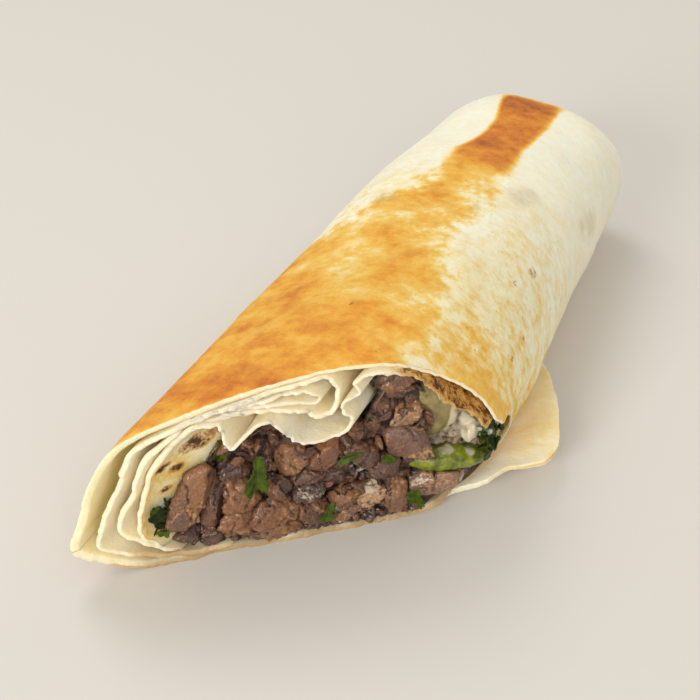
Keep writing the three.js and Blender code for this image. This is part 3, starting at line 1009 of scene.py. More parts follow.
@dataclass(frozen=True)
class WetFinish:
    """A fresh, moist piece such as pickle, onion or a leaf's rib.

    Attributes:
        name: The material's name.
        flesh: Its main colour.
        streak: The colour of its lighter streaks.
        rim: The colour of its skin.
        roughness: How dull its surface is.
        clear: How much light passes into it.
        sauce: The colour of the sauce on it.
    """

    name: str
    flesh: Colour
    streak: Colour
    rim: Colour
    roughness: float = 0.25
    clear: float = 0.4
    sauce: Colour = srgb(206, 198, 176)

    def made(self) -> Material:
        """Makes the material.

        Returns:
            The material.
        """
        graph = Graph(self.name)
        space = graph.space()
        cloud = graph.noise(space, 2.0, 4.0, 0.6)
        fine = graph.noise(space, 0.5, 3.0, 0.6)
        colour = graph.mix(graph.between(cloud, 0.35, 0.68), self.flesh, self.streak)
        skin = graph.between(graph.field("rim") + (fine - 0.5) * 0.3, 0.4, 0.7)
        colour = graph.mix(skin, colour, self.rim)
        smeared = graph.between(graph.field("sauce") + (fine - 0.5) * 0.5 + (cloud - 0.5) * 0.6, 0.35, 0.95)
        colour = graph.mix(smeared * 0.7, colour, self.sauce)
        normal = graph.bump(fine, 0.12)
        return graph.finish(
            Base_Color=colour,
            Roughness=self.roughness + (cloud - 0.5) * 0.15,
            Normal=normal,
            Subsurface_Weight=self.clear,
            Subsurface_Radius=(1.0, 0.9, 0.4),
            Subsurface_Scale=0.002,
            Coat_Weight=0.4,
            Coat_Roughness=0.1,
        )


# The bread


@dataclass
class Sheet:
    """A stretch of flatbread: a middle surface given two faces and an edge all round.

    Attributes:
        middle: Rows of points on its middle surface.
        normal: The direction of its first face at each point.
        thickness: Its thickness at each point.
        flat: Where each point lies on the unrolled sheet.
        fields: Named numbers for the points, the same for both faces or a pair.
    """

    middle: Array
    normal: Array
    thickness: Array
    flat: Array
    fields: dict[str, Array | float | tuple]

    def shape(self) -> Shape:
        """Forms the sheet.

        Returns:
            A closed shape.
        """
        rows, columns = self.thickness.shape
        half = self.normal * self.thickness[..., None] / 2
        faces_points = [(self.middle + side * half).reshape(-1, 3) for side in (1, -1)]
        count = rows * columns
        order = np.arange(count).reshape(rows, columns)
        rim = np.concatenate([order[0, :-1], order[:-1, -1], order[-1, :0:-1], order[:0:-1, 0]])
        within = np.concatenate([order[1, :-1], order[:-1, -2], order[-2, :0:-1], order[:0:-1, 1]])
        middle = self.middle.reshape(-1, 3)
        rounded = middle[rim] + unit(middle[rim] - middle[within]) * 0.32 * self.thickness.ravel()[rim, None]
        ring = np.arange(len(rim)) + 2 * count
        edge = np.vstack([between_rings(rim, ring), between_rings(ring, rim + count)])
        fields = {}
        for name, values in self.fields.items():
            pair = values if isinstance(values, tuple) else (values, values)
            first, second = (np.broadcast_to(side, self.thickness.shape).ravel() for side in pair)
            fields[name] = np.concatenate([first, second, first[rim]])
        faces = [grid_faces(rows, columns, False), grid_faces(rows, columns, False, count, True)]
        flat = self.flat.reshape(-1, 2)
        deeper = np.array([0.0, ROLL.bread])
        through = np.vstack([flat, flat - deeper, flat[rim] - deeper / 2])
        return Shape(np.vstack([*faces_points, rounded]), [np.vstack([*faces, edge])], fields, through)


def grid_normals(points: Array, closed: bool = False) -> Array:
    """The normals of a grid of points.

    Args:
        points: Rows of points.
        closed: Whether the last column joins the first.

    Returns:
        A normal for each point.
    """
    if closed:
        across = np.roll(points, -1, axis=1) - np.roll(points, 1, axis=1)
    else:
        across = np.gradient(points, axis=1)
    return unit(np.cross(across, np.gradient(points, axis=0)))


@dataclass
class OuterPly:
    """The roll's outside: the last turn of the sheet, closed round the folded end.

    Attributes:
        columns: How many points it has round the roll.
        fine: The gap between its rows at the cut.
        coarse: The gap between its rows further on.
        length: The length that these gaps are shares of.
        lining_back: The place along the roll where its inner cavity ends.
        lining_fine: How many of the first rows its lining has.
        lining_skip: The lining has one in so many of the rows behind them.
        cap_rows: How many rows round the folded end.
        ragged: How uneven its cut edge is.
        drawn_in: How far its right wall is drawn in at the cut.
        settling: How often the cut's place is worked out again.
        seed: Picks its unevenness.
        stains: Its grey stains, each by its share, its place along and its radius.
        specks: Its dark specks, in the same way.
    """

    columns: int = 560
    fine: float = 0.12
    coarse: float = 1.1
    length: float = 130.0
    lining_back: float = 78.0
    lining_fine: int = 24
    lining_skip: int = 3
    cap_rows: int = 36
    ragged: float = 0.22
    drawn_in: float = 2.2
    settling: int = 12
    seed: int = 3
    stains: Spots = (
        (0.61, 28, 5.0), (0.6, 31, 4.0), (0.49, 46, 6.5), (0.497, 41, 4.0), (0.656, 16, 2.2),
        (0.785, 15, 4.0),
    )
    specks: Spots = (
        (0.54, 10, 2.2), (0.555, 2, 1.0), (0.505, -5.5, 0.9), (0.51, -14, 0.9), (0.707, -27.2, 0.7),
    )

    def _toast(self, share: Array, y: Array) -> Array:
        """How browned the outside is, from 0 to 1.

        Args:
            share: Places round the outline.
            y: Places along the roll.

        Returns:
            The browning at each place.
        """
        left = np.interp(
            y,
            [-75, -60, -40, -20, -7, 2, 10.6, 17, 20, 24, 30, 40, 45, 50, 57, 61, 70, 90],
            [0.925, 0.94, 0.952, 0.948, 0.905, 0.85, 0.80, 0.785, 0.765, 0.752, 0.75, 0.742, 0.733, 0.727,
             0.727, 0.732, 0.745, 0.76],
        )
        right = np.interp(
            y,
            [-40, -30, -20, -10, 0, 10, 20, 30, 40, 45, 50, 60, 71, 90],
            [0.62, 0.622, 0.636, 0.644, 0.65, 0.65, 0.65, 0.646, 0.645, 0.65, 0.646, 0.638, 0.64, 0.65],
        )
        strength = np.interp(
            y,
            [-75, -55, -38, -24, -12, 0, 8, 14, 22, 30, 38, 50, 60, 68, 78, 92],
            [0.6, 0.62, 0.62, 0.61, 0.58, 0.52, 0.45, 0.49, 0.54, 0.66, 0.8, 0.8, 0.77, 0.85, 0.9, 0.80],
        )
        soft = np.interp(y, [-10, 10, 24, 36, 45, 69, 77], [0.05, 0.044, 0.026, 0.012, 0.006, 0.006, 0.035])
        places = stacked(share * ROLL.outline.length, y, 0.0)
        clouds = Noise(self.seed + 60)
        ragged = 0.018 * clouds.layered(places, 6.0, 4, 0.65) * ease(y, 46.0, 20.0)
        band = ease((share + ragged - right) / soft, -1.0, 1.0)
        band = band * ease((left - share - ragged) / np.minimum(soft, 0.024), -1.0, 1.0)
        inside = (share - right) / (left - right)
        paler = np.interp(y, [-60, -20, 16, 30, 38, 44, 70], [0.0, 0.0, 0.06, 0.22, 0.16, 0.0, 0.0])
        strength = strength - paler * ease(inside, 0.75, 0.35)
        strength = strength - 0.16 * ease(inside, 0.16, 0.02) * ease(y, 38.0, 46.0)
        strength = strength + 0.15 * clouds.layered(places, 11.0, 3, 0.6) * ease(y, 50.0, 36.0)
        drawn = places * np.array([0.35, 1.0, 1.0])
        pale_streaks = np.exp(-(((y - 9.0) / 6.0) ** 2)) + 0.6 * np.exp(-(((y - 27.0) / 5.0) ** 2))
        strength = strength - 0.2 * pale_streaks * ease(clouds.layered(drawn, 4.0, 2), -0.3, 0.6)
        strength = strength * (1.0 - 0.75 * ease(y, 70.5, 78.5))
        side = np.interp(y, [-45, -20, 0, 20, 45], [0.29, 0.25, 0.16, 0.1, 0.03])
        near = ease(y - ROLL.cut_y(20.0), 22.0, 0.0) * ease(share, 0.64, 0.5) * 0.22
        low = ease(share, 0.02, 0.12) * ease(0.46 - share, 0.0, 0.08)
        return np.maximum(strength * band, (side + near) * (1.0 - band)) + 0.12 * low * (1.0 - band)

    def _spots(self, share: Array, y: Array, spots: Spots) -> Array:
        """Soft round spots.

        Args:
            share: Places round the outline.
            y: Places along the roll.
            spots: The share, the place along and the radius of each spot.

        Returns:
            How far each place is in a spot, from 0 to 1.
        """
        total = np.zeros(np.broadcast(share, y).shape)
        for where, along, radius in spots:
            apart = np.hypot((share - where) * ROLL.outline.length, y - along)
            total = np.maximum(total, ease(apart, radius, 0.25 * radius))
        return total

    def shape(self) -> Shape:
        """Forms the ply.

        Returns:
            A closed shape.
        """
        noise = Noise(self.seed)
        share = np.arange(self.columns) / self.columns
        front = np.full(self.columns, ROLL.front)
        for _ in range(self.settling):
            front = ROLL.cut_y(ROLL.skin(share, front)[:, 0])
        front = front + self._torn_back(ROLL.outline.at(share))
        fold = ROLL.top_fold.length
        shoulder = ROLL.back - fold
        depth = graded(1.0, self.fine / self.length, self.coarse / self.length)[:, None]
        body = front + (shoulder - front) * depth
        turn = np.linspace(0.0, math.pi / 2 * 0.985, self.cap_rows + 1)[1:, None]
        cap = np.broadcast_to(shoulder + fold * np.sin(turn), (self.cap_rows, self.columns))
        y = np.vstack([body, cap])
        shares = np.broadcast_to(share, y.shape)
        skin = ROLL.skin(shares, y)
        normal = -grid_normals(skin, closed=True)
        from_cut = y - front
        wave = 0.42 * noise.at(skin, 17.0) + 0.2 * noise.at(skin, 8.0) + 0.07 * noise.at(skin, 3.6)
        lying = ease(skin[..., 2], 0.4, 4.0)
        calm = 1.0 - 0.6 * ease(from_cut, 8.0, 0.0)
        tuck = self._tuck(skin)
        skin = skin + normal * ((wave * calm + tuck) * lying)[..., None]
        fray = self.ragged * noise.layered(skin, 0.9, 3) + 0.2 * noise.at(skin, 5.0)
        skin[..., 1] -= fray * ease(from_cut, 2.0, 0.0)
        right = ease(skin[..., 0], 21.0, 28.0) * ease(from_cut, 18.0, 0.0)
        right = right * ease(skin[..., 2], 20.0, 14.5)
        skin[..., 0] -= self.drawn_in * right
        last_lined = int(np.searchsorted(y[:, 0], self.lining_back))
        lined = np.arange(self.lining_fine, last_lined, self.lining_skip)
        lined = np.concatenate([np.arange(self.lining_fine), lined])
        lining_rows = len(lined)
        thick = ROLL.bread * (1.0 + 0.16 * noise.at(skin[lined], 6.0))
        thin = np.minimum(1.0, 0.5 + from_cut[lined] / 1.5) * (1.0 - 0.55 * right[lined])
        lining = skin[lined] - normal[lined] * (thick * thin)[..., None]
        points = np.vstack([skin.reshape(-1, 3), [skin[-1].mean(axis=0)], lining.reshape(-1, 3)])
        points = np.vstack([points, [lining[-1].mean(axis=0)], (skin[0] + lining[0]) / 2 - [0.0, 0.35, 0.0]])
        rows, columns = y.shape
        outer_count = rows * columns + 1
        ring = np.arange(columns)
        lip = len(points) - columns + ring
        quads = np.vstack([
            grid_faces(rows, columns, True),
            grid_faces(lining_rows, columns, True, outer_count, True),
            between_rings(ring, lip),
            between_rings(lip, outer_count + ring),
        ])
        tip = fan((rows - 1) * columns + ring, outer_count - 1)
        plug = fan(outer_count + (lining_rows - 1) * columns + ring, len(points) - columns - 1, True)
        flat = stacked(shares * ROLL.outline.length, y)
        low_rim = ease(skin[..., 2], 4.0, 1.5)
        # Painted shade: along the low rim the cut edge keeps less of the pale crumb colour
        edge = ease(from_cut, 0.4, 0.0) * (1.0 - 0.5 * low_rim)
        toast = self._toast(shares, y)
        stain = 0.38 * self._spots(shares, y, self.stains)
        # Painted shade on the outer ply's low rim near the cut
        stain = np.maximum(stain, low_rim * ease(from_cut, 2.5, 0.5))
        char = 0.42 * self._spots(shares, y, self.specks)
        whiter = ease(shares, 0.57, 0.6) * ease(shares, 0.64, 0.62)
        whiter = whiter * ease(y, -32.0, -20.0)
        blotch = (1.0 - 0.7 * ease(y, 10.0, 42.0)) * (1.0 - 0.4 * whiter)
        # The low lining is darker: partly grease, partly painted shade reaching further left
        greasy = ease(lining[..., 2], 6.0, 2.0) * ease(skin[lined, :, 0], -30.0, -14.0)

        def both(outer: Array, inner: float | Array) -> Array:
            """Numbers for the outside, its tip, the lining, its plug and the lip, in that order."""
            within = np.broadcast_to(inner, (lining_rows, columns)).ravel()
            return np.concatenate([outer.ravel(), outer[-1, :1], within, within[-1:], outer[0]])

        fields = {
            "toast": both(toast, 0.11),
            "edge": both(edge, edge[lined]),
            "stain": both(stain, greasy),
            "char": both(char, 0.0),
            "blotch": both(blotch, 0.25),
        }
        through = flat[lined].reshape(-1, 2) - np.array([0.0, ROLL.bread])
        spread = np.vstack([flat.reshape(-1, 2), flat[-1, :1], through])
        spread = np.vstack([spread, spread[-1:], flat[0] - np.array([0.0, ROLL.bread / 2])])
        return Shape(points, [quads, np.vstack([tip, plug])], fields, spread)

    def _torn_back(self, cut: Array) -> Array:
        """How far behind the cut the edge is torn away, under the filling and at the lower right.

        Args:
            cut: Places on the outline, as [across, height].

        Returns:
            The distance at each place.
        """
        across, height = cut[:, 0], cut[:, 1]
        low = ease(height, 9.0, 6.0)
        under = 0.7 * ease(across, -13.2, -12.4) + 0.5 * ease(across, 6.0, 16.0)
        heights = [1.0, 4.0, 8.0, 12.0, 15.0, 17.0, 19.0, 21.5]
        wall = np.interp(height, heights, [4.0, 7.5, 10.5, 11.0, 8.0, 4.5, 1.5, 0.0])
        right = ease(across, 20.4, 22.2)
        return low * under * (1.0 - right) + right * wall

    def _tuck(self, skin: Array) -> Array:
        """The low pleats where the sheet's end is folded in.

        Args:
            skin: Points on the roll's outside.

        Returns:
            How far each one moves out.
        """
        reach = ease(skin[..., 1], ROLL.back - ROLL.top_fold.length - 6.0, ROLL.back - 4.0)
        angle = np.arctan2(skin[..., 2] - ROLL.fold_height, skin[..., 0])
        folds = np.sin(3.0 * angle + 0.8) + 0.6 * np.sin(7.0 * angle + 2.1)
        return 0.4 * reach * (1.0 - reach) * 4.0 * folds


@dataclass
class InnerPly:
    """One of the turns of bread inside the roll.

    Attributes:
        name: What it is called.
        line: Its middle line on the cut.
        seed: Picks its unevenness.
        ahead: How far it stands out of the cut.
        depth: How far back it is modelled.
        thickness: Its thickness, beside the bread's.
        drift: How far across it wanders further in.
        crinkle: How wavy it is.
        browned: How toasted its two faces are; on the innermost ply's second face this is partly painted
            warm light, standing in for light glowing through the plies.
        leaning: How far its left side leans in towards the filling behind the cut.
        serrated: How ragged its edge is.
        grilled: The share of the line from where its first face is toasted on the grill.
        scorched: Spots on its second face, as share of the line, depth and radius.
        spacing: The gap between its points along the line.
    """

    name: str
    line: Line
    seed: int
    ahead: float = 0.0
    depth: float = 46.0
    thickness: float = 0.85
    drift: float = 0.0
    crinkle: float = 0.3
    browned: tuple[float, float] = (0.09, 0.09)
    leaning: float = 0.0
    serrated: float = 0.34
    grilled: float = 1.0
    scorched: Spots = ()
    spacing: float = 0.22

    def shape(self) -> Shape:
        """Forms the ply.

        Returns:
            A closed shape.
        """
        noise = Noise(self.seed)
        line = SmoothLine(self.line)
        columns = int(line.length / self.spacing)
        share = np.linspace(0.0, 1.0, columns)
        cut = line.at(share)
        depth = graded(self.depth, 0.12, 1.1, 1.1)[:, None]
        across = cut[:, 0] + self.drift * np.sin(np.minimum(depth / 60.0, 1.0) * math.pi)
        y = ROLL.cut_y(cut[:, 0]) - self.ahead + depth
        settled = 1.1 * ease(cut[:, 1], 22.0, 33.0) * ease(depth, 2.0, 12.0)
        middle = ROLL.place(across, cut[:, 1] - settled, y)
        low = ease(cut[:, 1], 30.0, 24.0) * ease(cut[:, 0], -8.0, -17.0)
        middle[..., 0] += self.leaning * ease(depth, 0.3, 13.0) * low
        normal = grid_normals(middle)
        wave = self.crinkle * noise.layered(middle, 7.0, 2) * (0.55 + 0.45 * ease(depth, 0, 12))
        middle = middle + normal * wave[..., None]
        fray = self.serrated * noise.layered(middle, 1.2, 2) + 0.45 * noise.at(middle, 4.0)
        middle[..., 1] += fray * ease(depth, 2.0, 0.0)
        tips = ease(fray, -0.05, -0.5) * ease(self.serrated, 0.34, 0.5)
        normal = grid_normals(middle)
        thick = ROLL.bread * self.thickness * (1.0 + 0.2 * noise.at(middle, 4.0))
        ends = np.minimum(np.minimum(share, 1.0 - share) * line.length / 1.2, 1.0)
        thick = thick * np.sqrt(np.maximum(ends, 0.05)) * np.minimum(1.0, 0.72 + depth / 0.5)
        flat = stacked(share * line.length, y) + 100.0 * self.seed
        edge = ease(depth, 0.5, 0.0)
        scorched = np.zeros(y.shape)
        for where, inward, radius in self.scorched:
            apart = np.hypot((share - where) * line.length, (depth - inward) / 1.3)
            scorched = np.maximum(scorched, ease(apart, radius, 0.2 * radius))
        grilled = ease(share, self.grilled, self.grilled + 0.08) * ease(depth, 9.0, 4.0)
        low_rim = ease(cut[:, 1], 5.0, 2.0)
        fields = {
            # On the innermost ply the second face's toast is partly painted warm light
            "toast": (self.browned[0] + 0.35 * grilled, self.browned[1]),
            # Painted shade: along the low rim the cut edge keeps less of the pale crumb colour; grilled
            # parts and tips are tan
            "edge": edge * (1.0 - 0.6 * np.maximum(np.maximum(grilled, tips[0]), low_rim)),
            "char": (0.48 * grilled, 0.6 * scorched),
            # Darker and greyer towards the bottom of the ply
            "stain": 0.9 * ease(middle[..., 2], 6.5, 2.0),
            "blotch": (0.25, 0.6 if self.scorched else 0.25),
        }
        return Sheet(middle, normal, thick, flat, fields).shape()


@dataclass
class LooseEdge:
    """The sheet's own edge, a rounded lobe that lies beside the roll.

    Attributes:
        line: Its rise from under the roll outwards, as [across, height].
        front: Its edge on the side of the cut, as [across, along].
        back: Its other edge.
        rows: How many rows of points it has along.
        columns: How many it has across.
        seed: Picks its unevenness.
    """

    line: Line = (
        (12.5, 0.62), (17.6, 0.72), (21.5, 1.4), (25.4, 3.0), (29.5, 4.5), (33.5, 5.5), (37.3, 6.4),
    )
    front: Line = (
        (12.5, -34.0), (19, -32.4), (21.3, -28.9), (24.9, -27.3), (27.5, -25.6), (28.8, -23.1),
        (30.3, -21), (33, -19.9), (35.8, -18.6), (36.8, -16.6), (37.3, -13.4),
    )
    back: Line = (
        (12.5, 24), (17.6, 23.5), (24.8, 16), (28.3, 10.5), (32, 3.1), (35, -4.5), (36.6, -9.5),
        (37.3, -13),
    )
    rows: int = 190
    columns: int = 96
    seed: int = 21

    def shape(self) -> Shape:
        """Forms the lobe.

        Returns:
            A closed shape.
        """
        noise = Noise(self.seed)
        line = SmoothLine(self.line)
        out = 1.0 - (1.0 - np.linspace(0.0, 1.0, self.columns)) ** 1.6
        cut = line.at(out)
        margins = [SmoothLine(edge).points for edge in (self.front, self.back)]
        front, back = (np.interp(cut[:, 0], margin[:, 0], margin[:, 1]) for margin in margins)
        turn = np.linspace(0.0, math.pi, self.rows)[:, None]
        half = (back - front) / 2
        y = (front + back) / 2 - half * np.cos(turn)
        flat_places = stacked(cut[:, 0], y, 0.0)
        waves = 0.5 * np.sin(y / 6.0) + 0.4 * noise.at(flat_places, 9.0) + 0.15 * noise.at(flat_places, 3.0)
        lift = out * waves
        middle = stacked(cut[:, 0], y, cut[:, 1] + lift)
        rim = np.minimum(half * np.sin(turn), (1.0 - out) * line.length + 0.25)
        wander = 0.35 * noise.layered(middle, 5.0, 2) + 0.2 * noise.layered(middle, 1.1, 2)
        middle[..., 1] += wander * ease(rim, 5.0, 0.0)
        normal = grid_normals(middle)
        thick = ROLL.bread * (0.85 + 0.2 * noise.at(middle, 5.0)) * np.sqrt(np.clip(rim / 0.8, 0.06, 1.0))
        flat = stacked(out * line.length, y) + 900.0
        edge = ease(rim, 0.4, 0.0) * 0.6
        toasted = 0.08 * ease(out, 0.3, 0.85) + 0.12 * ease(rim, 1.5, 0.2)
        toasted = toasted + 0.06 * noise.layered(middle, 7.0, 2) + 0.05 * ease(y, -16.0, -4.0)
        fields = {"toast": toasted, "edge": edge, "blotch": 0.4}
        return Sheet(middle, normal, thick, flat, fields).shape()


INNER_PLIES = (
    InnerPly(
        "second_ply",
        (
            (-9, 1.6), (-14, 1.6), (-19, 2.2), (-24, 4.4), (-26.3, 7.2), (-25.7, 12), (-24.5, 16),
            (-22.6, 20), (-21.8, 24), (-20.4, 27), (-16.5, 29.8), (-10.5, 32.2), (-4, 34.2),
        ),
        seed=31, leaning=2.4,
    ),
    InnerPly(
        "third_ply",
        (
            (-15.8, 3), (-18.6, 4), (-21.6, 6.6), (-23.6, 9.4), (-22.8, 13.8), (-21.2, 17.2),
            (-20.3, 21.5), (-19, 25), (-16.5, 27.6), (-14, 30),
        ),
        seed=32, leaning=4.0,
    ),
    InnerPly(
        "innermost_ply",
        (
            (-18.2, 4.4), (-20.6, 8), (-20.6, 13), (-19.6, 18), (-18.8, 21.6), (-17, 24.8),
            (-14.8, 28.2), (-11.6, 30.6), (-7.6, 31.4),
        ),
        # The second face's browning of 0.24 is partly painted warm light, standing in for light glowing
        # through the plies
        seed=33, drift=1.6, browned=(0.1, 0.24), leaning=5.8,
        scorched=(
            (0.64, 6.0, 2.8), (0.68, 9.5, 1.9), (0.5, 5.0, 1.5), (0.54, 2.5, 1.7), (0.38, 4.0, 1.2),
        ),
    ),
    InnerPly(
        "pleat",
        (
            (-13, 31.6), (-5, 34.2), (1.4, 36), (4.6, 36.3), (6.1, 34.3), (6.3, 31.3),
            (5.2, 28.6), (3.4, 28.3), (1.4, 30), (-3, 31.2), (-9, 31.8),
        ),
        seed=34, serrated=0.5, thickness=0.7, crinkle=0.15,
    ),
    InnerPly(
        "pleat_turn",
        (
            (-10, 32.8), (-5, 33.1), (-0.5, 34.1), (2.4, 34.2), (4, 33), (3.6, 31.6),
            (1, 32), (-3, 32.4), (-8, 32.2),
        ),
        seed=35, serrated=0.5, thickness=0.55, crinkle=0.1,
    ),
    InnerPly(
        "ruffle",
        (
            (-12, 31.2), (-8.8, 30.6), (-8, 27.6), (-7.2, 25.6), (-5.6, 27.6), (-3.6, 29.4),
            (-1.2, 28.8), (0.2, 26.2), (2, 24.3), (5, 23.9), (8, 25), (8.8, 27.6), (7.6, 30),
            (8.1, 32.2), (9.8, 33.2), (8.9, 35), (10.4, 36.4), (13.6, 36.2), (17.2, 34.4),
            (20, 30.8), (22.8, 27), (26, 23.4), (27.8, 20.8),
        ),
        seed=36, ahead=1.5, serrated=0.55, thickness=0.5, crinkle=0.35, grilled=0.66,
    ),
)


@dataclass
class Flatbread:
    """All of the bread.

    Attributes:
        outer: The outer ply.
        loose: The loose edge.
        plies: The plies inside.
    """

    outer: OuterPly = field(default_factory=OuterPly)
    loose: LooseEdge = field(default_factory=LooseEdge)
    plies: tuple[InnerPly, ...] = INNER_PLIES

    def build(self, material: Material) -> None:
        """Makes the bread's pieces in place of the CAD node.

        Args:
            material: The bread's finish.
        """
        shapes = {"outer_ply": self.outer.shape(), "loose_edge": self.loose.shape()}
        shapes |= {ply.name: ply.shape() for ply in self.plies}
        for name, shape in shapes.items():
            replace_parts(shape.made(name, Slot.BREAD, material), "flatbread")


# The filling


def unit_ball(level: int) -> Shape:
    """A unit ball of evenly spread points, to shape lumps from.

    Args:
        level: How many times it is split.

    Returns:
        The ball.
    """
    grid = bmesh.new()
    bmesh.ops.create_icosphere(grid, subdivisions=level, radius=1.0)
    points = np.array([vertex.co[:] for vertex in grid.verts])
    faces = np.array([[vertex.index for vertex in face.verts] for face in grid.faces])
    grid.free()
    return Shape(points, [faces])


class CadSolid:
    """A CAD node's solid, in millimetres in design coordinates."""

    def __init__(self, node: str) -> None:
        """Reads the node's mesh.

        Args:
            node: The node's name.
        """
        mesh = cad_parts[node].data
        co = np.empty(len(mesh.vertices) * 3, dtype=np.float32)
        mesh.vertices.foreach_get("co", co)
        self.points = co.reshape(-1, 3).astype(float) / MM - SHIFT
        self.faces = [list(face.vertices) for face in mesh.polygons]
        self.tree = BVHTree.FromPolygons([Vector(p) for p in self.points], self.faces)
        low, high = self.points.min(axis=0), self.points.max(axis=0)
        self.centre = (low + high) / 2
        self.size = high - low

    def reach(self, directions: Array) -> Array:
        """How far the surface is from the centre in each direction.

        Args:
            directions: Vectors one long.

        Returns:
            The distances.
        """
        centre = Vector(self.centre)
        found = []
        for direction in directions:
            hit = self.tree.ray_cast(centre, Vector(direction))
            found.append(hit[3] if hit[3] is not None else 0.4 * float(self.size.min()))
        return np.array(found)


@dataclass(frozen=True)
class Dab:
    """A place where sauce lies on the filling.

    Attributes:
        across: Its place across the cut.
        height: Its height on the cut.
        inward: How far behind the cut it lies.
        radius: How far it spreads.
    """

    across: float
    height: float
    inward: float
    radius: float

    def centre(self) -> Array:
        """Its centre in space."""
        return np.array([self.across, ROLL.behind(self.across, self.inward), self.height])


DABS = (
    Dab(8.2, 14.2, 1.5, 1.7),
    Dab(9.2, 11.8, 1.5, 1.8),
    Dab(10.6, 9.6, 1.0, 1.7),
    Dab(2.8, 9.8, 1.0, 1.2),
    Dab(24.0, 16.2, 2.0, 2.6),
    Dab(26.4, 18.4, 2.0, 2.8),
    Dab(23.6, 20.6, 3.0, 2.6),
    Dab(21.6, 8.8, 0.6, 1.6),
    Dab(24.2, 7.8, 1.0, 1.6),
    Dab(27.8, 14.5, 2.0, 2.2),
    Dab(21.0, 14.6, 2.0, 2.4),
    Dab(24.4, 13.2, 2.0, 1.5),
)


SMEARS = Noise(5)


def sauce_on(points: Array) -> Array:
    """How much sauce lies at each point, from 0 to 1.

    Args:
        points: The places.

    Returns:
        The share of sauce.
    """
    total = np.zeros(len(points))
    for dab in DABS:
        apart = np.linalg.norm(points - dab.centre(), axis=1)
        total = np.maximum(total, ease(apart / dab.radius, 1.25, 0.3))
    return np.clip(total * (0.9 + 0.7 * SMEARS.layered(points, 1.8, 2)), 0.0, 1.0)


class Look(Enum):
    """How a piece of meat was cut or torn."""

    SMOOTH = "smooth"
    TORN = "torn"
    GROUND = "ground"


@dataclass(frozen=True)
class Relief:
    """The surface that one look has.

    Attributes:
        facets: How many flat cuts the piece has.
        kept: The least share of its reach that a flat cut leaves.
        lumps: The height of its large unevenness.
        crag: The height of its small unevenness.
        bundle: The height of its bundles of fibres.
        grains: The height of its crumbs.
        spice: How much roasted spice lies on it.
        slice: The thickness of its slices.
        step: How far its slices stand out of or behind each other.
    """

    facets: int
    kept: float
    lumps: float
    crag: float
    bundle: float
    grains: float
    spice: float
    slice: float
    step: float


RELIEFS = {
    Look.SMOOTH: Relief(6, 0.8, 0.16, 0.1, 0.05, 0.0, 0.1, 5.0, 0.25),
    Look.TORN: Relief(7, 0.82, 0.18, 0.16, 0.12, 0.0, 0.1, 3.4, 0.4),
    Look.GROUND: Relief(6, 0.88, 0.24, 0.3, 0.04, 0.26, 0.8, 4.2, 0.25),
}


def drawn_out(points: Array, along: Array, wide: float, long: float) -> Array:
    """Points scaled so that a noise of size 1 is drawn out along a direction.

    Args:
        points: The places.
        along: The direction, one long.
        wide: The width of a feature.
        long: The length of a feature.

    Returns:
        The scaled points.
    """
    run = (points @ along)[:, None] * along
    return (points - run) / wide + run / long


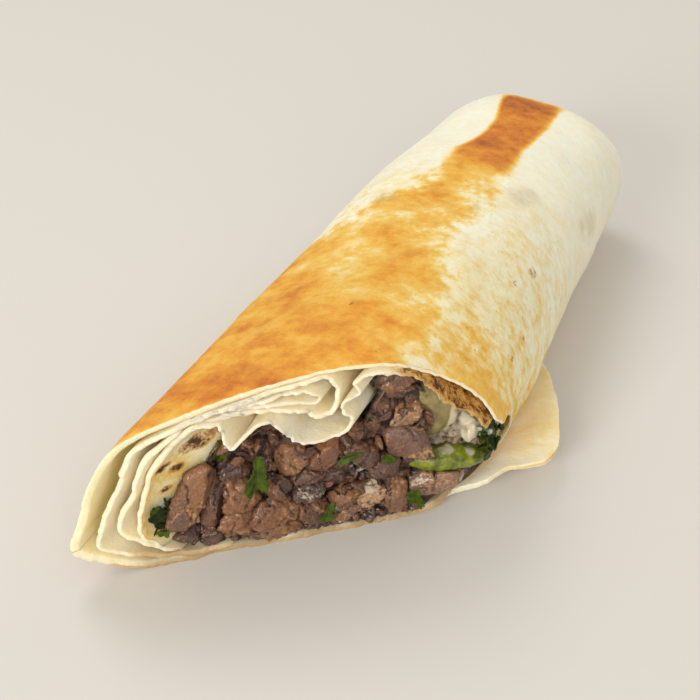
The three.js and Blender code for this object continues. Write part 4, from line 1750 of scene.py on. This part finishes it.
@dataclass
class MeatPiece:
    """A chopped piece of roast meat, cut flat on some sides and torn on others.

    Attributes:
        number: The number of the CAD node that it stands for.
        look: How it was cut or torn.
        warm: How tan it is, from mauve at 0.
        dark: How dark it is, partly its own tone and partly painted shade where it lies in shadow.
        pale: How light its lightest parts are.
        fat: How much fat shows on it.
        rim: How tan the rim of its cut face is.
        level: How finely its ball is split.
    """

    number: int
    look: Look
    warm: float
    dark: float
    pale: float = 0.1
    fat: float = 0.0
    rim: float = 0.5
    level: int = 5

    def _trimmed(self, solid: CadSolid, ball: Shape, random: np.random.Generator) -> tuple[Array, Array]:
        """The piece's reach from its middle once the flat cuts are made.

        Args:
            solid: The CAD solid.
            ball: The directions that are followed.
            random: The draws.

        Returns:
            The reach, and how far each point is from a flat cut, up to 1.
        """
        relief = RELIEFS[self.look]
        noise = Noise(self.number)
        uneven = 0.06 * noise.at(ball.points, 0.5) + 0.04 * noise.layered(ball.points, 0.2, 2)
        swell = 1.2 if self.look is Look.GROUND else 1.1
        reach = solid.reach(ball.points) * (swell + uneven)
        crust = np.ones(len(reach))
        cuts = unit(random.normal(size=(relief.facets, 3)))
        cuts[0] = unit(ROLL.cut_normal() + random.normal(size=3) * 0.2)
        soft = 0.14
        for cut in cuts:
            facing = ball.points @ cut
            limit = (reach * facing).max() * random.uniform(relief.kept, relief.kept + 0.1)
            plane = np.where(facing > 0.05, limit / np.maximum(facing, 0.05), 1e3)
            crust = np.minimum(crust, ease(plane - reach, 0.0, 0.6))
            blend = np.clip(0.5 + 0.5 * (reach - plane) / soft, 0.0, 1.0)
            reach = reach * (1 - blend) + plane * blend - soft * blend * (1 - blend) * 0.5
        return reach, crust

    def _sliced(self, points: Array, random: np.random.Generator) -> tuple[Array, Array]:
        """The piece as a stack of slices with torn edges.

        Args:
            points: The places.
            random: The draws.

        Returns:
            A number of each slice's own, from -1 to 1, and how near each place is to a gap.
        """
        relief = RELIEFS[self.look]
        noise = Noise(300 + self.number)
        drawn = random.normal(size=3)
        axis = unit(drawn - 0.8 * (drawn @ ROLL.cut_normal()) * ROLL.cut_normal())
        warp = 0.7 * noise.at(points, 4.0) + 0.4 * noise.layered(points, 1.0, 3)
        through = (points @ axis + warp) / relief.slice
        layer = np.floor(through)
        apart = np.minimum(through - layer, 1.0 - through + layer) * relief.slice
        own = noise.fixed(stacked(layer, 0, 0).astype(np.int64))
        return own, ease(apart, 0.24, 0.02)

    def shape(self) -> Shape:
        """Forms the piece.

        Returns:
            A closed shape.
        """
        relief = RELIEFS[self.look]
        random = np.random.default_rng(100 + self.number)
        noise = Noise(100 + self.number)
        ball = unit_ball(self.level)
        solid = CadSolid(f"meat_piece_{self.number:02d}")
        reach, crust = self._trimmed(solid, ball, random)
        points = solid.centre + ball.points * reach[:, None]
        along = unit(random.normal(size=3))
        bundles = noise.creased(drawn_out(points, along, 1.1, 7.0), 1.0) * 2.0 - 0.6
        threads = noise.creased(drawn_out(points, along, 0.4, 4.0), 1.0) * 2.0 - 0.6
        cracks = noise.layered(points, 1.3, 4, 0.6)
        grains, own, gap = noise.chips(points, 0.8)
        small = relief.crag * cracks * (0.3 + 0.7 * crust)
        small = small + relief.bundle * (0.7 * bundles + 0.35 * threads) * (0.5 + 0.5 * crust)
        small = small + relief.grains * (grains - 0.6 * ease(gap, 0.2, 0.0))
        slice_own, slit = self._sliced(points, random)
        small = small + relief.step * slice_own - 0.4 * slit
        jagged = noise.layered(points, 0.6, 2) * ease(crust, 0.02, 0.4)
        jagged = jagged * ease(1.0 - crust, 0.02, 0.4)
        sauce = sauce_on(points)
        height = small + relief.lumps * noise.at(points, 4.2) + 0.06 * noise.at(points, 0.6) + 0.5 * jagged
        height = height + 0.12 * ease(sauce, 0.3, 0.7)
        rim = 4.0 * ease(crust, 0.1, 0.5) * ease(1.0 - crust, 0.1, 0.7)
        made = Shape(points, ball.faces).pushed(height)
        # Painted shade that deepens on the parts of the piece that lie further behind the cut
        behind = -(made.points @ ROLL.cut_normal())
        behind = behind - behind.min()
        buried = ease(behind, 1.0, 3.4)
        made.fields = {
            "warm": self.warm + 0.3 * crust + 0.35 * slice_own,
            "dark": self.dark - 0.12 * crust - 0.22 * slice_own,
            "pale": self.pale,
            "crumb": own if self.look is Look.GROUND else 0.5,
            "rim": np.clip(rim, 0, 1) * self.rim,
            "fibre": np.clip(0.5 + 0.5 * threads, 0, 1),
            "fat": self.fat,
            "spice": relief.spice * (0.4 + 0.6 * crust),
            # Painted shade in dents, in the gaps between slices and on parts that lie deep behind the cut
            "hollow": np.maximum(np.maximum(0.5 * ease(small, -0.15, -0.7), slit), buried),
            "sauce": sauce,
        }
        return made

    def build(self, material: Material) -> Shape:
        """Makes the piece in place of its CAD node.

        Args:
            material: The meat's finish.

        Returns:
            The piece's shape, for small things to lie on.
        """
        shape = self.shape()
        piece = shape.made(f"meat_chunk_{self.number:02d}", Slot.MEAT, material)
        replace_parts(piece, f"meat_piece_{self.number:02d}")
        return shape


# Each piece's look, warm, dark, pale, fat and rim, in the order of the CAD nodes; dark is partly painted
# shade, highest on pieces 11 to 14 and 30, which lie in shadow
MEAT_ROWS = (
    (Look.SMOOTH, 0.15, 0.08, 0.25, 0.15, 1.0),
    (Look.SMOOTH, 0.0, 0.42, 0.05, 0.0, 0.3),
    (Look.SMOOTH, 0.6, 0.12, 0.25, 0.1, 1.0),
    (Look.SMOOTH, 0.15, 0.34, 0.1, 0.1, 0.5),
    (Look.SMOOTH, 0.0, 0.6, 0.05, 0.0, 0.4),
    (Look.SMOOTH, 0.05, 0.5, 0.1, 0.1, 0.5),
    (Look.GROUND, 0.6, 0.28, 0.2, 0.05, 0.5),
    (Look.GROUND, 0.6, 0.25, 0.1, 0.0, 0.4),
    (Look.GROUND, 0.7, 0.35, 0.15, 0.05, 0.5),
    (Look.GROUND, 0.5, 0.42, 0.1, 0.05, 0.4),
    (Look.TORN, 0.3, 0.95, 0.05, 0.0, 0.3),
    (Look.TORN, 0.3, 0.85, 0.1, 0.0, 0.4),
    (Look.TORN, 0.6, 0.6, 0.15, 0.0, 0.5),
    (Look.TORN, 0.5, 0.75, 0.1, 0.0, 0.4),
    (Look.TORN, 0.65, 0.12, 0.25, 0.1, 0.6),
    (Look.SMOOTH, 0.35, 0.28, 0.15, 0.1, 0.6),
    (Look.TORN, 0.25, 0.32, 0.15, 0.1, 0.5),
    (Look.TORN, 0.35, 0.45, 0.2, 0.05, 0.4),
    (Look.GROUND, 0.15, 0.55, 0.1, 0.5, 0.2),
    (Look.SMOOTH, 0.05, 0.75, 0.1, 0.3, 0.3),
    (Look.TORN, 0.6, 0.15, 0.3, 0.15, 0.6),
    (Look.GROUND, 0.4, 0.6, 0.1, 0.1, 0.3),
    (Look.TORN, 0.2, 0.08, 0.4, 0.3, 0.3),
    (Look.TORN, 0.6, 0.1, 0.75, 0.4, 0.4),
    (Look.SMOOTH, 0.35, 0.28, 0.15, 0.1, 0.6),
    (Look.SMOOTH, 0.2, 0.32, 0.1, 0.05, 0.5),
    (Look.TORN, 0.35, 0.35, 0.15, 0.1, 0.5),
    (Look.SMOOTH, 0.2, 0.05, 0.5, 0.35, 0.3),
    (Look.TORN, 0.4, 0.35, 0.15, 0.1, 0.5),
    (Look.TORN, 0.4, 0.8, 0.1, 0.0, 0.4),
    (Look.TORN, 0.35, 0.0, 0.55, 0.45, 0.7),
)
MEAT = tuple(MeatPiece(number, *row) for number, row in enumerate(MEAT_ROWS, 1))


@dataclass
class WetPiece:
    """A moist piece of vegetable, close to its CAD solid but rounded and uneven.

    Attributes:
        node: The CAD node that it stands for.
        name: What the piece is called.
        slot: Its slot.
        finish: Its finish.
        seed: Picks its relief.
        skin: The side that its skin is on.
        facets: How many flat cuts it has.
        relief: How uneven it is.
    """

    node: str
    name: str
    slot: Slot
    finish: WetFinish
    seed: int
    skin: Place
    facets: int = 0
    relief: float = 0.3

    def build(self) -> None:
        """Makes the piece in place of its CAD node."""
        noise = Noise(self.seed)
        ball = unit_ball(5)
        solid = CadSolid(self.node)
        reach = solid.reach(ball.points)
        for cut in unit(np.random.default_rng(self.seed).normal(size=(self.facets, 3))):
            facing = ball.points @ cut
            limit = (reach * facing).max() * 0.78
            reach = np.minimum(reach, np.where(facing > 0.05, limit / np.maximum(facing, 0.05), 1e3))
        points = solid.centre + ball.points * reach[:, None]
        shape = Shape(points, ball.faces)
        relief = self.relief * (noise.at(points, 2.6) + 0.4 * noise.at(points, 1.0))
        sauce = sauce_on(points)
        relief += 0.12 * ease(sauce, 0.3, 0.7)
        made = shape.pushed(relief)
        rim = ease((points - solid.centre) / solid.size @ np.array(self.skin), 0.34, 0.5)
        made.fields = {"rim": rim, "sauce": sauce}
        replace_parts(made.made(self.name, self.slot, self.finish.made()), self.node)


VEGETABLES = (
    WetPiece(
        "pickle_slice", "pickle_wedge", Slot.PICKLE,
        WetFinish("pickle", srgb(150, 134, 84), srgb(122, 106, 54), srgb(200, 190, 156), 0.2, 0.5),
        201, (1.0, 0.0, -0.2), 4,
    ),
    WetPiece(
        "onion_piece", "onion_bit", Slot.ONION,
        WetFinish("onion", srgb(172, 160, 132), srgb(204, 194, 168), srgb(196, 186, 158), 0.22, 0.5),
        202, (0.0, 0.0, 1.0), 7,
    ),
    WetPiece(
        "green_rib", "leaf_rib", Slot.RIB,
        WetFinish("green_rib", srgb(78, 90, 6), srgb(134, 140, 24), srgb(140, 146, 46), 0.24, 0.4),
        203, (0.4, 0.0, 0.9),
    ),
)


class Bed:
    """The filling's surface on the cut, for small things to lie on.

    Attributes:
        AHEAD: How far out of the cut a search for it starts.
        REACH: How far the search goes.
    """

    AHEAD = 8.0
    REACH = 30.0

    def __init__(self, shapes: list[Shape]) -> None:
        """Gathers the shapes.

        Args:
            shapes: The pieces that form the surface.
        """
        points, faces, count = [], [], 0
        for shape in shapes:
            points.append(shape.points)
            for group in shape.faces:
                faces.extend((group + count).tolist())
            count += len(shape.points)
        self.tree = BVHTree.FromPolygons(np.vstack(points).tolist(), faces)

    def under(self, across: float, height: float) -> tuple[Array, float] | None:
        """What lies behind a place on the cut.

        Args:
            across: The place across the cut.
            height: The place's height.

        Returns:
            The place on the surface and its depth behind the cut, where there is one.
        """
        normal = ROLL.cut_normal()
        start = np.array([across, float(ROLL.cut_y(across)), height]) + normal * self.AHEAD
        hit = self.tree.ray_cast(Vector(start), Vector(-normal), self.REACH)
        if hit[0] is None:
            return None
        return np.array(hit[0]), hit[3] - self.AHEAD


@dataclass
class Filling:
    """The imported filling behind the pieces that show, with what lies loose on it.

    Attributes:
        outline: Its outline on the cut.
        middle: A place inside the outline.
        setback: How far behind the cut its face lies.
        depth: How far back it is modelled.
        columns: How many points its body has round the outline.
        rings: How many rings of points its face has.
        lumps: How many small lumps fill its gaps.
        crumbs: How many crumbs lie on it.
        low_rim: Where the lumps along its lower rim start and end across the cut.
        low_lumps: How many there are.
        lump_depth: How far behind the cut a place lies that gets a small lump.
        crumb_depth: How far behind the cut a place lies that is sure to get a crumb.
        stray: The share of crumbs that are kept on the places in front of that.
        fresh_side: The places across, and the heights, beyond which the vegetables and herbs lie.
        seed: Picks its relief and what lies on it.
    """

    outline: Line = (
        (-16.8, 5.2), (-16.2, 10), (-14.4, 15), (-12.8, 20), (-10.4, 23.6), (-7, 23.8), (-3.6, 26.2),
        (-1.4, 25), (1.4, 21.8), (8, 21.8), (10.6, 27), (14, 33), (17, 31.8), (21, 27), (25.4, 21.4),
        (28, 17), (27.8, 12), (26, 8), (23.6, 4.8), (19.6, 2.4), (12, 1.3), (3, 1.2), (-6, 1.5),
        (-13, 2.6),
    )
    middle: tuple[float, float] = (4.0, 14.0)
    setback: float = 2.5
    depth: float = 40.0
    columns: int = 420
    rings: int = 120
    lumps: int = 80
    crumbs: int = 180
    low_rim: tuple[float, float] = (-12.5, 17.5)
    low_lumps: int = 54
    lump_depth: float = 1.8
    crumb_depth: float = 1.4
    stray: float = 0.12
    fresh_side: tuple[float, float] = (17.5, 9.5)
    seed: int = 71

    def _core(self) -> Shape:
        """The filling's body, with a crumbly face to the cut.

        Returns:
            A closed shape.
        """
        noise = Noise(self.seed)
        line = SmoothLine(self.outline, closed=True)
        ring = np.arange(self.columns)
        rim = line.at(ring / self.columns)
        spread = np.linspace(0.01, 1.0, self.rings)[:, None]
        across = self.middle[0] + (rim[:, 0] - self.middle[0]) * spread
        height = self.middle[1] + (rim[:, 1] - self.middle[1]) * spread
        setback = self.setback - 1.9 * ease(height, 7.0, 2.0)
        low = ease(height, 9.5, 5.0) * ease(across, 19.0, 22.0)
        clear = ease(across, 16.5, 18.5) * ease(height, 8.0, 10.0)
        setback = setback + 1.2 * clear + 3.2 * low
        face = ROLL.place(across, height, ROLL.behind(across, setback))
        back_depth = graded(self.depth, 0.4, 3.0)[1:, None]
        side = ROLL.place(rim[:, 0], rim[:, 1], ROLL.behind(rim[:, 0], self.setback) + back_depth)
        lumps, lump, deep = noise.chips(face, 3.8)
        crumbs, crumb, crack = noise.chips(face, 1.3)
        fine = noise.layered(face, 0.7, 2)
        gaps = 1.1 * ease(deep, 0.3, 0.0) + 0.3 * ease(crack, 0.25, 0.0)
        relief = 1.4 * lumps + 0.35 * crumbs + 0.6 * noise.at(face, 6.0) - gaps
        face = face + ROLL.cut_normal() * (relief * (1.0 - 0.6 * clear) + 0.12 * fine)[..., None]
        rows = np.concatenate([face, side])
        points = np.vstack([rows.reshape(-1, 3), [rows[0].mean(axis=0)], [rows[-1].mean(axis=0)]])
        last = (len(rows) - 1) * self.columns + ring
        fans = [fan(ring, len(points) - 2, True), fan(last, len(points) - 1)]
        faces = [grid_faces(len(rows), self.columns, True), np.vstack(fans)]
        # Painted shade in the gaps between lumps and some over the whole face, less at the lower right and
        # beside the vegetables
        hollow = gaps + 0.6 * ease(lumps, 0.0, -0.5) + 0.2 - 0.5 * clear - low
        film = 0.6 * np.maximum(clear, low) + 0.3 * fine * clear

        def padded(values: Array) -> Array:
            """Numbers for the face, then the same for all the rest."""
            return np.concatenate([values.ravel(), np.full(len(points) - values.size, 0.5)])

        fields = {
            "warm": padded(0.1 + 0.75 * lump),
            # The core's dark value is partly painted shade, lighter at the saucy lower right
            "dark": padded((0.7 - 0.4 * crumb) * (1.0 - 0.8 * low)),
            "pale": padded(0.15 * crumb + 0.5 * low),
            "crumb": padded(crumb),
            "rim": padded(np.zeros_like(lump)),
            "fibre": padded(np.clip(0.5 + 0.5 * fine, 0.0, 1.0)),
            "fat": padded(0.3 * lump),
            "spice": padded(np.full_like(lump, 0.5)),
            "hollow": padded(np.clip(hollow, 0.0, 1.0)),
            "sauce": np.maximum(sauce_on(points), padded(film)),
        }
        return Shape(points, faces, fields)

    def _kept_clear(self, place: Array) -> bool:
        """Whether a place belongs to the pickle, onion, rib and herbs."""
        return place[0] > self.fresh_side[0] and place[2] > self.fresh_side[1]

    def _place(self, random: np.random.Generator) -> tuple[float, float]:
        """Draws a place inside the outline.

        Args:
            random: The draws.

        Returns:
            The place across and its height.
        """
        rim = SmoothLine(self.outline, closed=True).at(np.array([random.uniform()]))[0]
        spread = math.sqrt(random.uniform(0.0, 0.94))
        across = self.middle[0] + (rim[0] - self.middle[0]) * spread
        return across, self.middle[1] + (rim[1] - self.middle[1]) * spread

    def _tinted(self, shape: Shape, random: np.random.Generator) -> Shape:
        """A small piece with a colour of its own.

        Args:
            shape: The piece, without fields.
            random: The draws.

        Returns:
            The piece with its fields.
        """
        shape.fields = {
            "warm": random.uniform(0.1, 0.95),
            "dark": random.uniform(0.2, 0.9),
            "pale": random.uniform(0.0, 0.35),
            "crumb": random.uniform(),
            "rim": 0.0,
            "fibre": 0.4,
            "fat": random.uniform(0.0, 0.4),
            "spice": random.uniform(0.2, 0.8),
            "hollow": 0.0,
            "sauce": sauce_on(shape.points) * 0.7,
        }
        return shape

    def _lump(self, place: Array, size: float, ball: Shape, random: np.random.Generator) -> Shape:
        """One small torn or broken lump.

        Args:
            place: Its middle.
            size: Half its length.
            ball: The ball to shape it from.
            random: The draws.

        Returns:
            The lump.
        """
        noise = Noise(int(random.integers(1, 10000)))
        reach = 1.0 + 0.4 * noise.at(ball.points, 0.8) + 0.2 * noise.at(ball.points, 0.35)
        for cut in unit(random.normal(size=(5, 3))):
            facing = np.maximum(ball.points @ cut, 0.05)
            reach = np.minimum(reach, random.uniform(0.5, 0.8) / facing)
        scale = size * np.array([1.3, random.uniform(0.6, 1.0), random.uniform(0.25, 0.5)])
        turn = np.linalg.qr(random.normal(size=(3, 3)))[0]
        points = (ball.points * reach[:, None] * scale) @ turn + place
        return self._tinted(Shape(points, ball.faces), random)

    def build(self, material: Material, chunks: list[Shape]) -> None:
        """Makes the body and what lies loose on it in place of the CAD node.

        Args:
            material: The meat's finish.
            chunks: The chopped pieces in front of it.
        """
        random = np.random.default_rng(self.seed)
        core = self._core()
        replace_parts(core.made("meat_body", Slot.MEAT, material), "meat_filling")
        bed = Bed([core, *chunks])
        small, tiny = unit_ball(3), unit_ball(2)
        loose: dict[str, list[Shape]] = {"meat_lumps": [], "meat_crumbs": []}
        while len(loose["meat_lumps"]) < self.lumps:
            found = bed.under(*self._place(random))
            if found is not None and found[1] > self.lump_depth and not self._kept_clear(found[0]):
                size = random.uniform(0.6, 1.7)
                place = found[0] + ROLL.cut_normal() * size * 0.35
                loose["meat_lumps"].append(self._lump(place, size, small, random))
        for across in np.linspace(*self.low_rim, self.low_lumps):
            size = random.uniform(0.5, 1.15)
            along = float(ROLL.cut_y(across)) + random.uniform(1.2, 2.8)
            place = np.array([across, along, random.uniform(1.5, 2.8) + 0.12 * max(across - 12.0, 0.0)])
            loose["meat_lumps"].append(self._lump(place, size, small, random))
        while len(loose["meat_crumbs"]) < self.crumbs:
            found = bed.under(*self._place(random))
            if found is None or self._kept_clear(found[0]):
                continue
            if found[1] > self.crumb_depth or random.uniform() < self.stray:
                size = random.uniform(0.14, 0.4)
                loose["meat_crumbs"].append(self._lump(found[0], size, tiny, random))
        for name, pieces in loose.items():
            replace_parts(Shape.gathered(pieces).made(name, Slot.MEAT, material), "meat_filling")


@dataclass(frozen=True)
class LeafFinish:
    """Chopped fresh parsley: bright and dark green, glossy, with light veins.

    Attributes:
        dark: Its deep green.
        bright: Its light green.
        sauce: The colour of the sauce on it.
    """

    dark: Colour = srgb(20, 36, 2)
    bright: Colour = srgb(70, 87, 0)
    sauce: Colour = srgb(206, 206, 180)

    def made(self) -> Material:
        """Makes the material.

        Returns:
            The material.
        """
        graph = Graph("parsley")
        space = graph.space()
        cloud = graph.noise(space, 1.6, 4.0, 0.6)
        fine = graph.noise(space, 0.35, 3.0, 0.6)
        share = graph.between(cloud + graph.field("vein") * 0.35 + graph.field("pale") - 0.3, 0.25, 0.85)
        colour = graph.mix(share, self.dark, self.bright)
        smeared = graph.between(graph.field("sauce") + (fine - 0.5) * 0.5, 0.5, 0.75)
        colour = graph.mix(smeared * 0.7, colour, self.sauce)
        return graph.finish(
            Base_Color=colour,
            Roughness=0.4 + (fine - 0.5) * 0.2,
            Normal=graph.bump(fine, 0.12),
            Specular_IOR_Level=0.2,
            Coat_Weight=0.04,
            Coat_Roughness=0.2,
        )


@dataclass
class HerbLeaf:
    """A torn parsley leaf: a lobed, toothed blade that curls.

    Attributes:
        centre: The place of its middle in space.
        facing: The direction that its face looks.
        length: Its length.
        width: Its width.
        lean: How far its tip leans from upright, in radians.
        curl: How much it curls.
        seed: Picks its lobes.
        pale: How much lighter than the rest it is.
        rings: How many rings of points each side has.
        sectors: How many points a ring has.
    """

    centre: Array
    facing: Array
    length: float
    width: float
    lean: float
    curl: float
    seed: int
    pale: float = 0.3
    rings: int = 16
    sectors: int = 84

    def shape(self) -> Shape:
        """Forms the leaf.

        Returns:
            A closed shape.
        """
        random = np.random.default_rng(self.seed)
        noise = Noise(self.seed)
        angle = np.arange(self.sectors) / self.sectors * 2 * math.pi
        turns = random.uniform(-0.6, 0.6, 3)
        lobes = 1.0 + 0.26 * np.cos(3 * angle + turns[0]) + 0.1 * np.cos(5 * angle + 4 * turns[1])
        teeth = 0.12 * np.abs(np.sin(5.5 * angle + 3 * turns[2])) + 0.06 * np.sin(17 * angle)
        teeth = teeth + 0.16 * np.sin(2 * angle + 5 * turns[1])
        edge = lobes + teeth
        out = np.linspace(0.04, 1.0, self.rings)[:, None]
        across = np.sin(angle) * edge
        across = across * out * self.width / np.ptp(across)
        along = np.cos(angle) * edge
        along = along * out * self.length / np.ptp(along)
        bend = self.curl * np.hypot(across / self.width, 0.06) * self.width * 0.9
        bend = bend + 0.5 * self.curl * np.sin(along / self.length * 3.0) * self.width * 0.3
        local = stacked(across, bend, along)
        local[..., 1] += 0.3 * noise.at(local + self.seed, 1.6) * out
        side = unit(np.cross(self.facing, UP))
        up = np.cross(side, self.facing)
        turned = [math.cos(self.lean) * side + math.sin(self.lean) * up, self.facing]
        turned.append(math.cos(self.lean) * up - math.sin(self.lean) * side)
        middle = self.centre + local @ np.array(turned)
        normal = grid_normals(middle, closed=True)
        thick = 0.26 * np.sqrt(np.clip((1.0 - out) * 6.0, 0.12, 1.0))
        half = normal * thick[..., None] / 2
        sides = [(middle + half).reshape(-1, 3), (middle - half).reshape(-1, 3)]
        count = self.rings * self.sectors
        ring = np.arange(self.sectors)
        rim = (self.rings - 1) * self.sectors + ring
        centres = [side[: self.sectors].mean(axis=0) for side in sides]
        fans = [fan(ring, 2 * count, True), fan(ring + count, 2 * count + 1)]
        quads = [
            grid_faces(self.rings, self.sectors, True),
            grid_faces(self.rings, self.sectors, True, count, True),
            between_rings(rim + count, rim),
        ]
        points = np.vstack([*sides, *centres])
        vein = np.exp(-((np.sin(angle * 1.5) / 0.16) ** 2)) * (1.0 - 0.4 * out)
        fields = {
            "vein": np.concatenate([vein.ravel(), vein.ravel(), [1.0, 1.0]]),
            "pale": self.pale,
            "sauce": sauce_on(points) * 0.85,
        }
        return Shape(points, [np.vstack(quads), np.vstack(fans)], fields)


@dataclass
class Herbs:
    """The chopped parsley: single leaves and two clumps.

    Attributes:
        leaf_count: How many single leaves there are.
        clumps: The side of each clump and how many leaves it has.
        seed: Picks the forms and places of all leaves.
    """

    leaf_count: int = 6
    clumps: tuple[tuple[str, int], ...] = (("right", 44), ("left", 20))
    seed: int = 91

    def _leaf_on(self, node: str, number: int) -> Shape:
        """A leaf in the place of a CAD leaf.

        Args:
            node: The CAD node.
            number: Its number, which picks its form.

        Returns:
            The leaf.
        """
        solid = CadSolid(node)
        centred = solid.points - solid.points.mean(axis=0)
        _, _, axes = np.linalg.svd(centred, full_matrices=False)
        facing = axes[2] if axes[2] @ ROLL.cut_normal() > 0 else -axes[2]
        spread = centred @ axes.T
        length, width = (float(spread[:, k].max() - spread[:, k].min()) for k in (0, 1))
        side = unit(np.cross(facing, UP))
        up = np.cross(side, facing)
        lean = math.atan2(-float(axes[0] @ side), float(axes[0] @ up))
        return HerbLeaf(solid.centre, facing, length, width, lean, 0.75, self.seed + number, 0.4).shape()

    def _clump(self, node: str, count: int, seed: int) -> Shape:
        """Many small torn leaves heaped where a CAD clump is.

        Args:
            node: The CAD node.
            count: How many leaves.
            seed: Picks their places.

        Returns:
            The clump.
        """
        random = np.random.default_rng(seed)
        solid = CadSolid(node)
        leaves = []
        for number in range(count):
            where = solid.centre + random.uniform(-0.5, 0.5, 3) * solid.size + 0.6 * ROLL.cut_normal()
            # One leaf in four of the right clump lies a little further left
            where[0] -= 4.5 * (number % 4 == 0) * (where[0] > 0.0)
            facing = unit(ROLL.cut_normal() + random.normal(size=3) * 0.5)
            size = random.uniform(1.4, 2.8)
            leaf = HerbLeaf(
                where, facing, size * random.uniform(1.0, 1.5), size, random.uniform(-math.pi, math.pi),
                random.uniform(-0.9, 0.9), seed + number, random.uniform(0.0, 0.4), 7, 40,
            )
            leaves.append(leaf.shape())
        return Shape.gathered(leaves)

    def build(self, material: Material) -> None:
        """Makes the leaves and clumps in place of their CAD nodes.

        Args:
            material: The leaf's finish.
        """
        for number in range(1, self.leaf_count + 1):
            node = f"herb_leaf_{number}"
            leaf = self._leaf_on(node, number).made(f"parsley_leaf_{number}", Slot.HERB, material)
            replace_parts(leaf, node)
        for side, count in self.clumps:
            node = f"herb_clump_{side}"
            clump = self._clump(node, count, self.seed + 50 * len(side))
            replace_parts(clump.made(f"parsley_clump_{side}", Slot.HERB, material), node)


@dataclass
class Studio:
    """A pale floor, soft lights and a camera where the photograph's was.

    Attributes:
        camera_place: The camera's place, in design millimetres.
        azimuth: The direction it looks, in degrees from along the roll.
        elevation: How far it looks down, in degrees.
        image_width: The width of the photograph, in pixels.
        focal_pixels: Its focal length, in the photograph's pixels.
        sensor: The width of the camera's sensor.
        floor_half: Half the width of the floor, in metres.
        ivory: The floor's colour.
        warm: The colour of the lights at the front, the side and the back.
    """

    camera_place: Place = (71.79, -180.9, 155.1)
    azimuth: float = 25.0
    elevation: float = 37.0
    image_width: float = 700.0
    focal_pixels: float = 880.0 / math.tan(math.radians(37.0))
    sensor: float = 36.0
    floor_half: float = 3.0
    ivory: Colour = srgb(206, 203, 198)
    warm: Colour = (1.0, 0.98, 0.95)

    def _camera(self) -> None:
        """Sets the scene's camera."""
        data = bpy.data.cameras.new("camera")
        data.sensor_width = self.sensor
        data.lens = self.focal_pixels * self.sensor / self.image_width
        data.clip_start = 0.01
        camera = bpy.data.objects.new("camera", data)
        camera.location = (np.array(self.camera_place) + SHIFT) * MM
        camera.rotation_euler = (math.radians(90 - self.elevation), 0.0, math.radians(self.azimuth))
        bpy.context.scene.collection.objects.link(camera)
        bpy.context.scene.camera = camera

    def _area(self, name: str, place: Place, target: Place, size: float, watts: float,
              colour: Colour) -> None:
        """Adds a soft square light.

        Args:
            name: What it is called.
            place: Where it hangs.
            target: Where it points.
            size: The length of its sides.
            watts: Its power.
            colour: Its colour.
        """
        data = bpy.data.lights.new(name, "AREA")
        data.energy = watts
        data.size = size
        data.color = colour
        light = bpy.data.objects.new(name, data)
        light.location = place
        light.rotation_euler = (Vector(target) - Vector(place)).to_track_quat("-Z", "Y").to_euler()
        bpy.context.scene.collection.objects.link(light)

    def _floor(self) -> None:
        """Lays the pale floor."""
        half = self.floor_half
        mesh = bpy.data.meshes.new("floor")
        corners = [(-half, -half, 0), (half, -half, 0), (half, half, 0), (-half, half, 0)]
        mesh.from_pydata(corners, [], [(0, 1, 2, 3)])
        graph = Graph("floor")
        mesh.materials.append(graph.finish(Base_Color=self.ivory, Roughness=0.6))
        floor = bpy.data.objects.new("floor", mesh)
        bpy.context.scene.collection.objects.link(floor)

    def build(self) -> None:
        """Sets up the camera, the floor and the lights."""
        self._camera()
        self._floor()
        bpy.context.scene.view_settings.view_transform = "Standard"
        middle = (0.0, 0.0, 0.02)
        self._area("key", (-0.42, 0.28, 0.7), middle, 0.4, 2.0, (1.0, 0.975, 0.94))
        self._area("front", (-0.18, -0.85, 0.36), middle, 0.3, 4.9, self.warm)
        self._area("side", (0.5, -0.75, 0.6), middle, 0.6, 3.0, self.warm)
        self._area("back", (0.3, 0.7, 0.5), middle, 0.5, 1.0, self.warm)
        world = bpy.data.worlds.new("world")
        world.use_nodes = True
        backdrop = world.node_tree.nodes["Background"]
        backdrop.inputs["Color"].default_value = (1.0, 0.95, 0.87, 1.0)
        backdrop.inputs["Strength"].default_value = 0.6
        bpy.context.scene.world = world


def main() -> None:
    """Builds the dressed wrap and its studio."""
    logging.basicConfig(level=logging.INFO, format="%(message)s", stream=sys.stdout)
    Studio().build()
    Flatbread().build(BreadFinish().made())
    meat = MeatFinish().made()
    Filling().build(meat, [piece.build(meat) for piece in MEAT])
    for vegetable in VEGETABLES:
        vegetable.build()
    Herbs().build(LeafFinish().made())


if __name__ == "__main__":
    main()
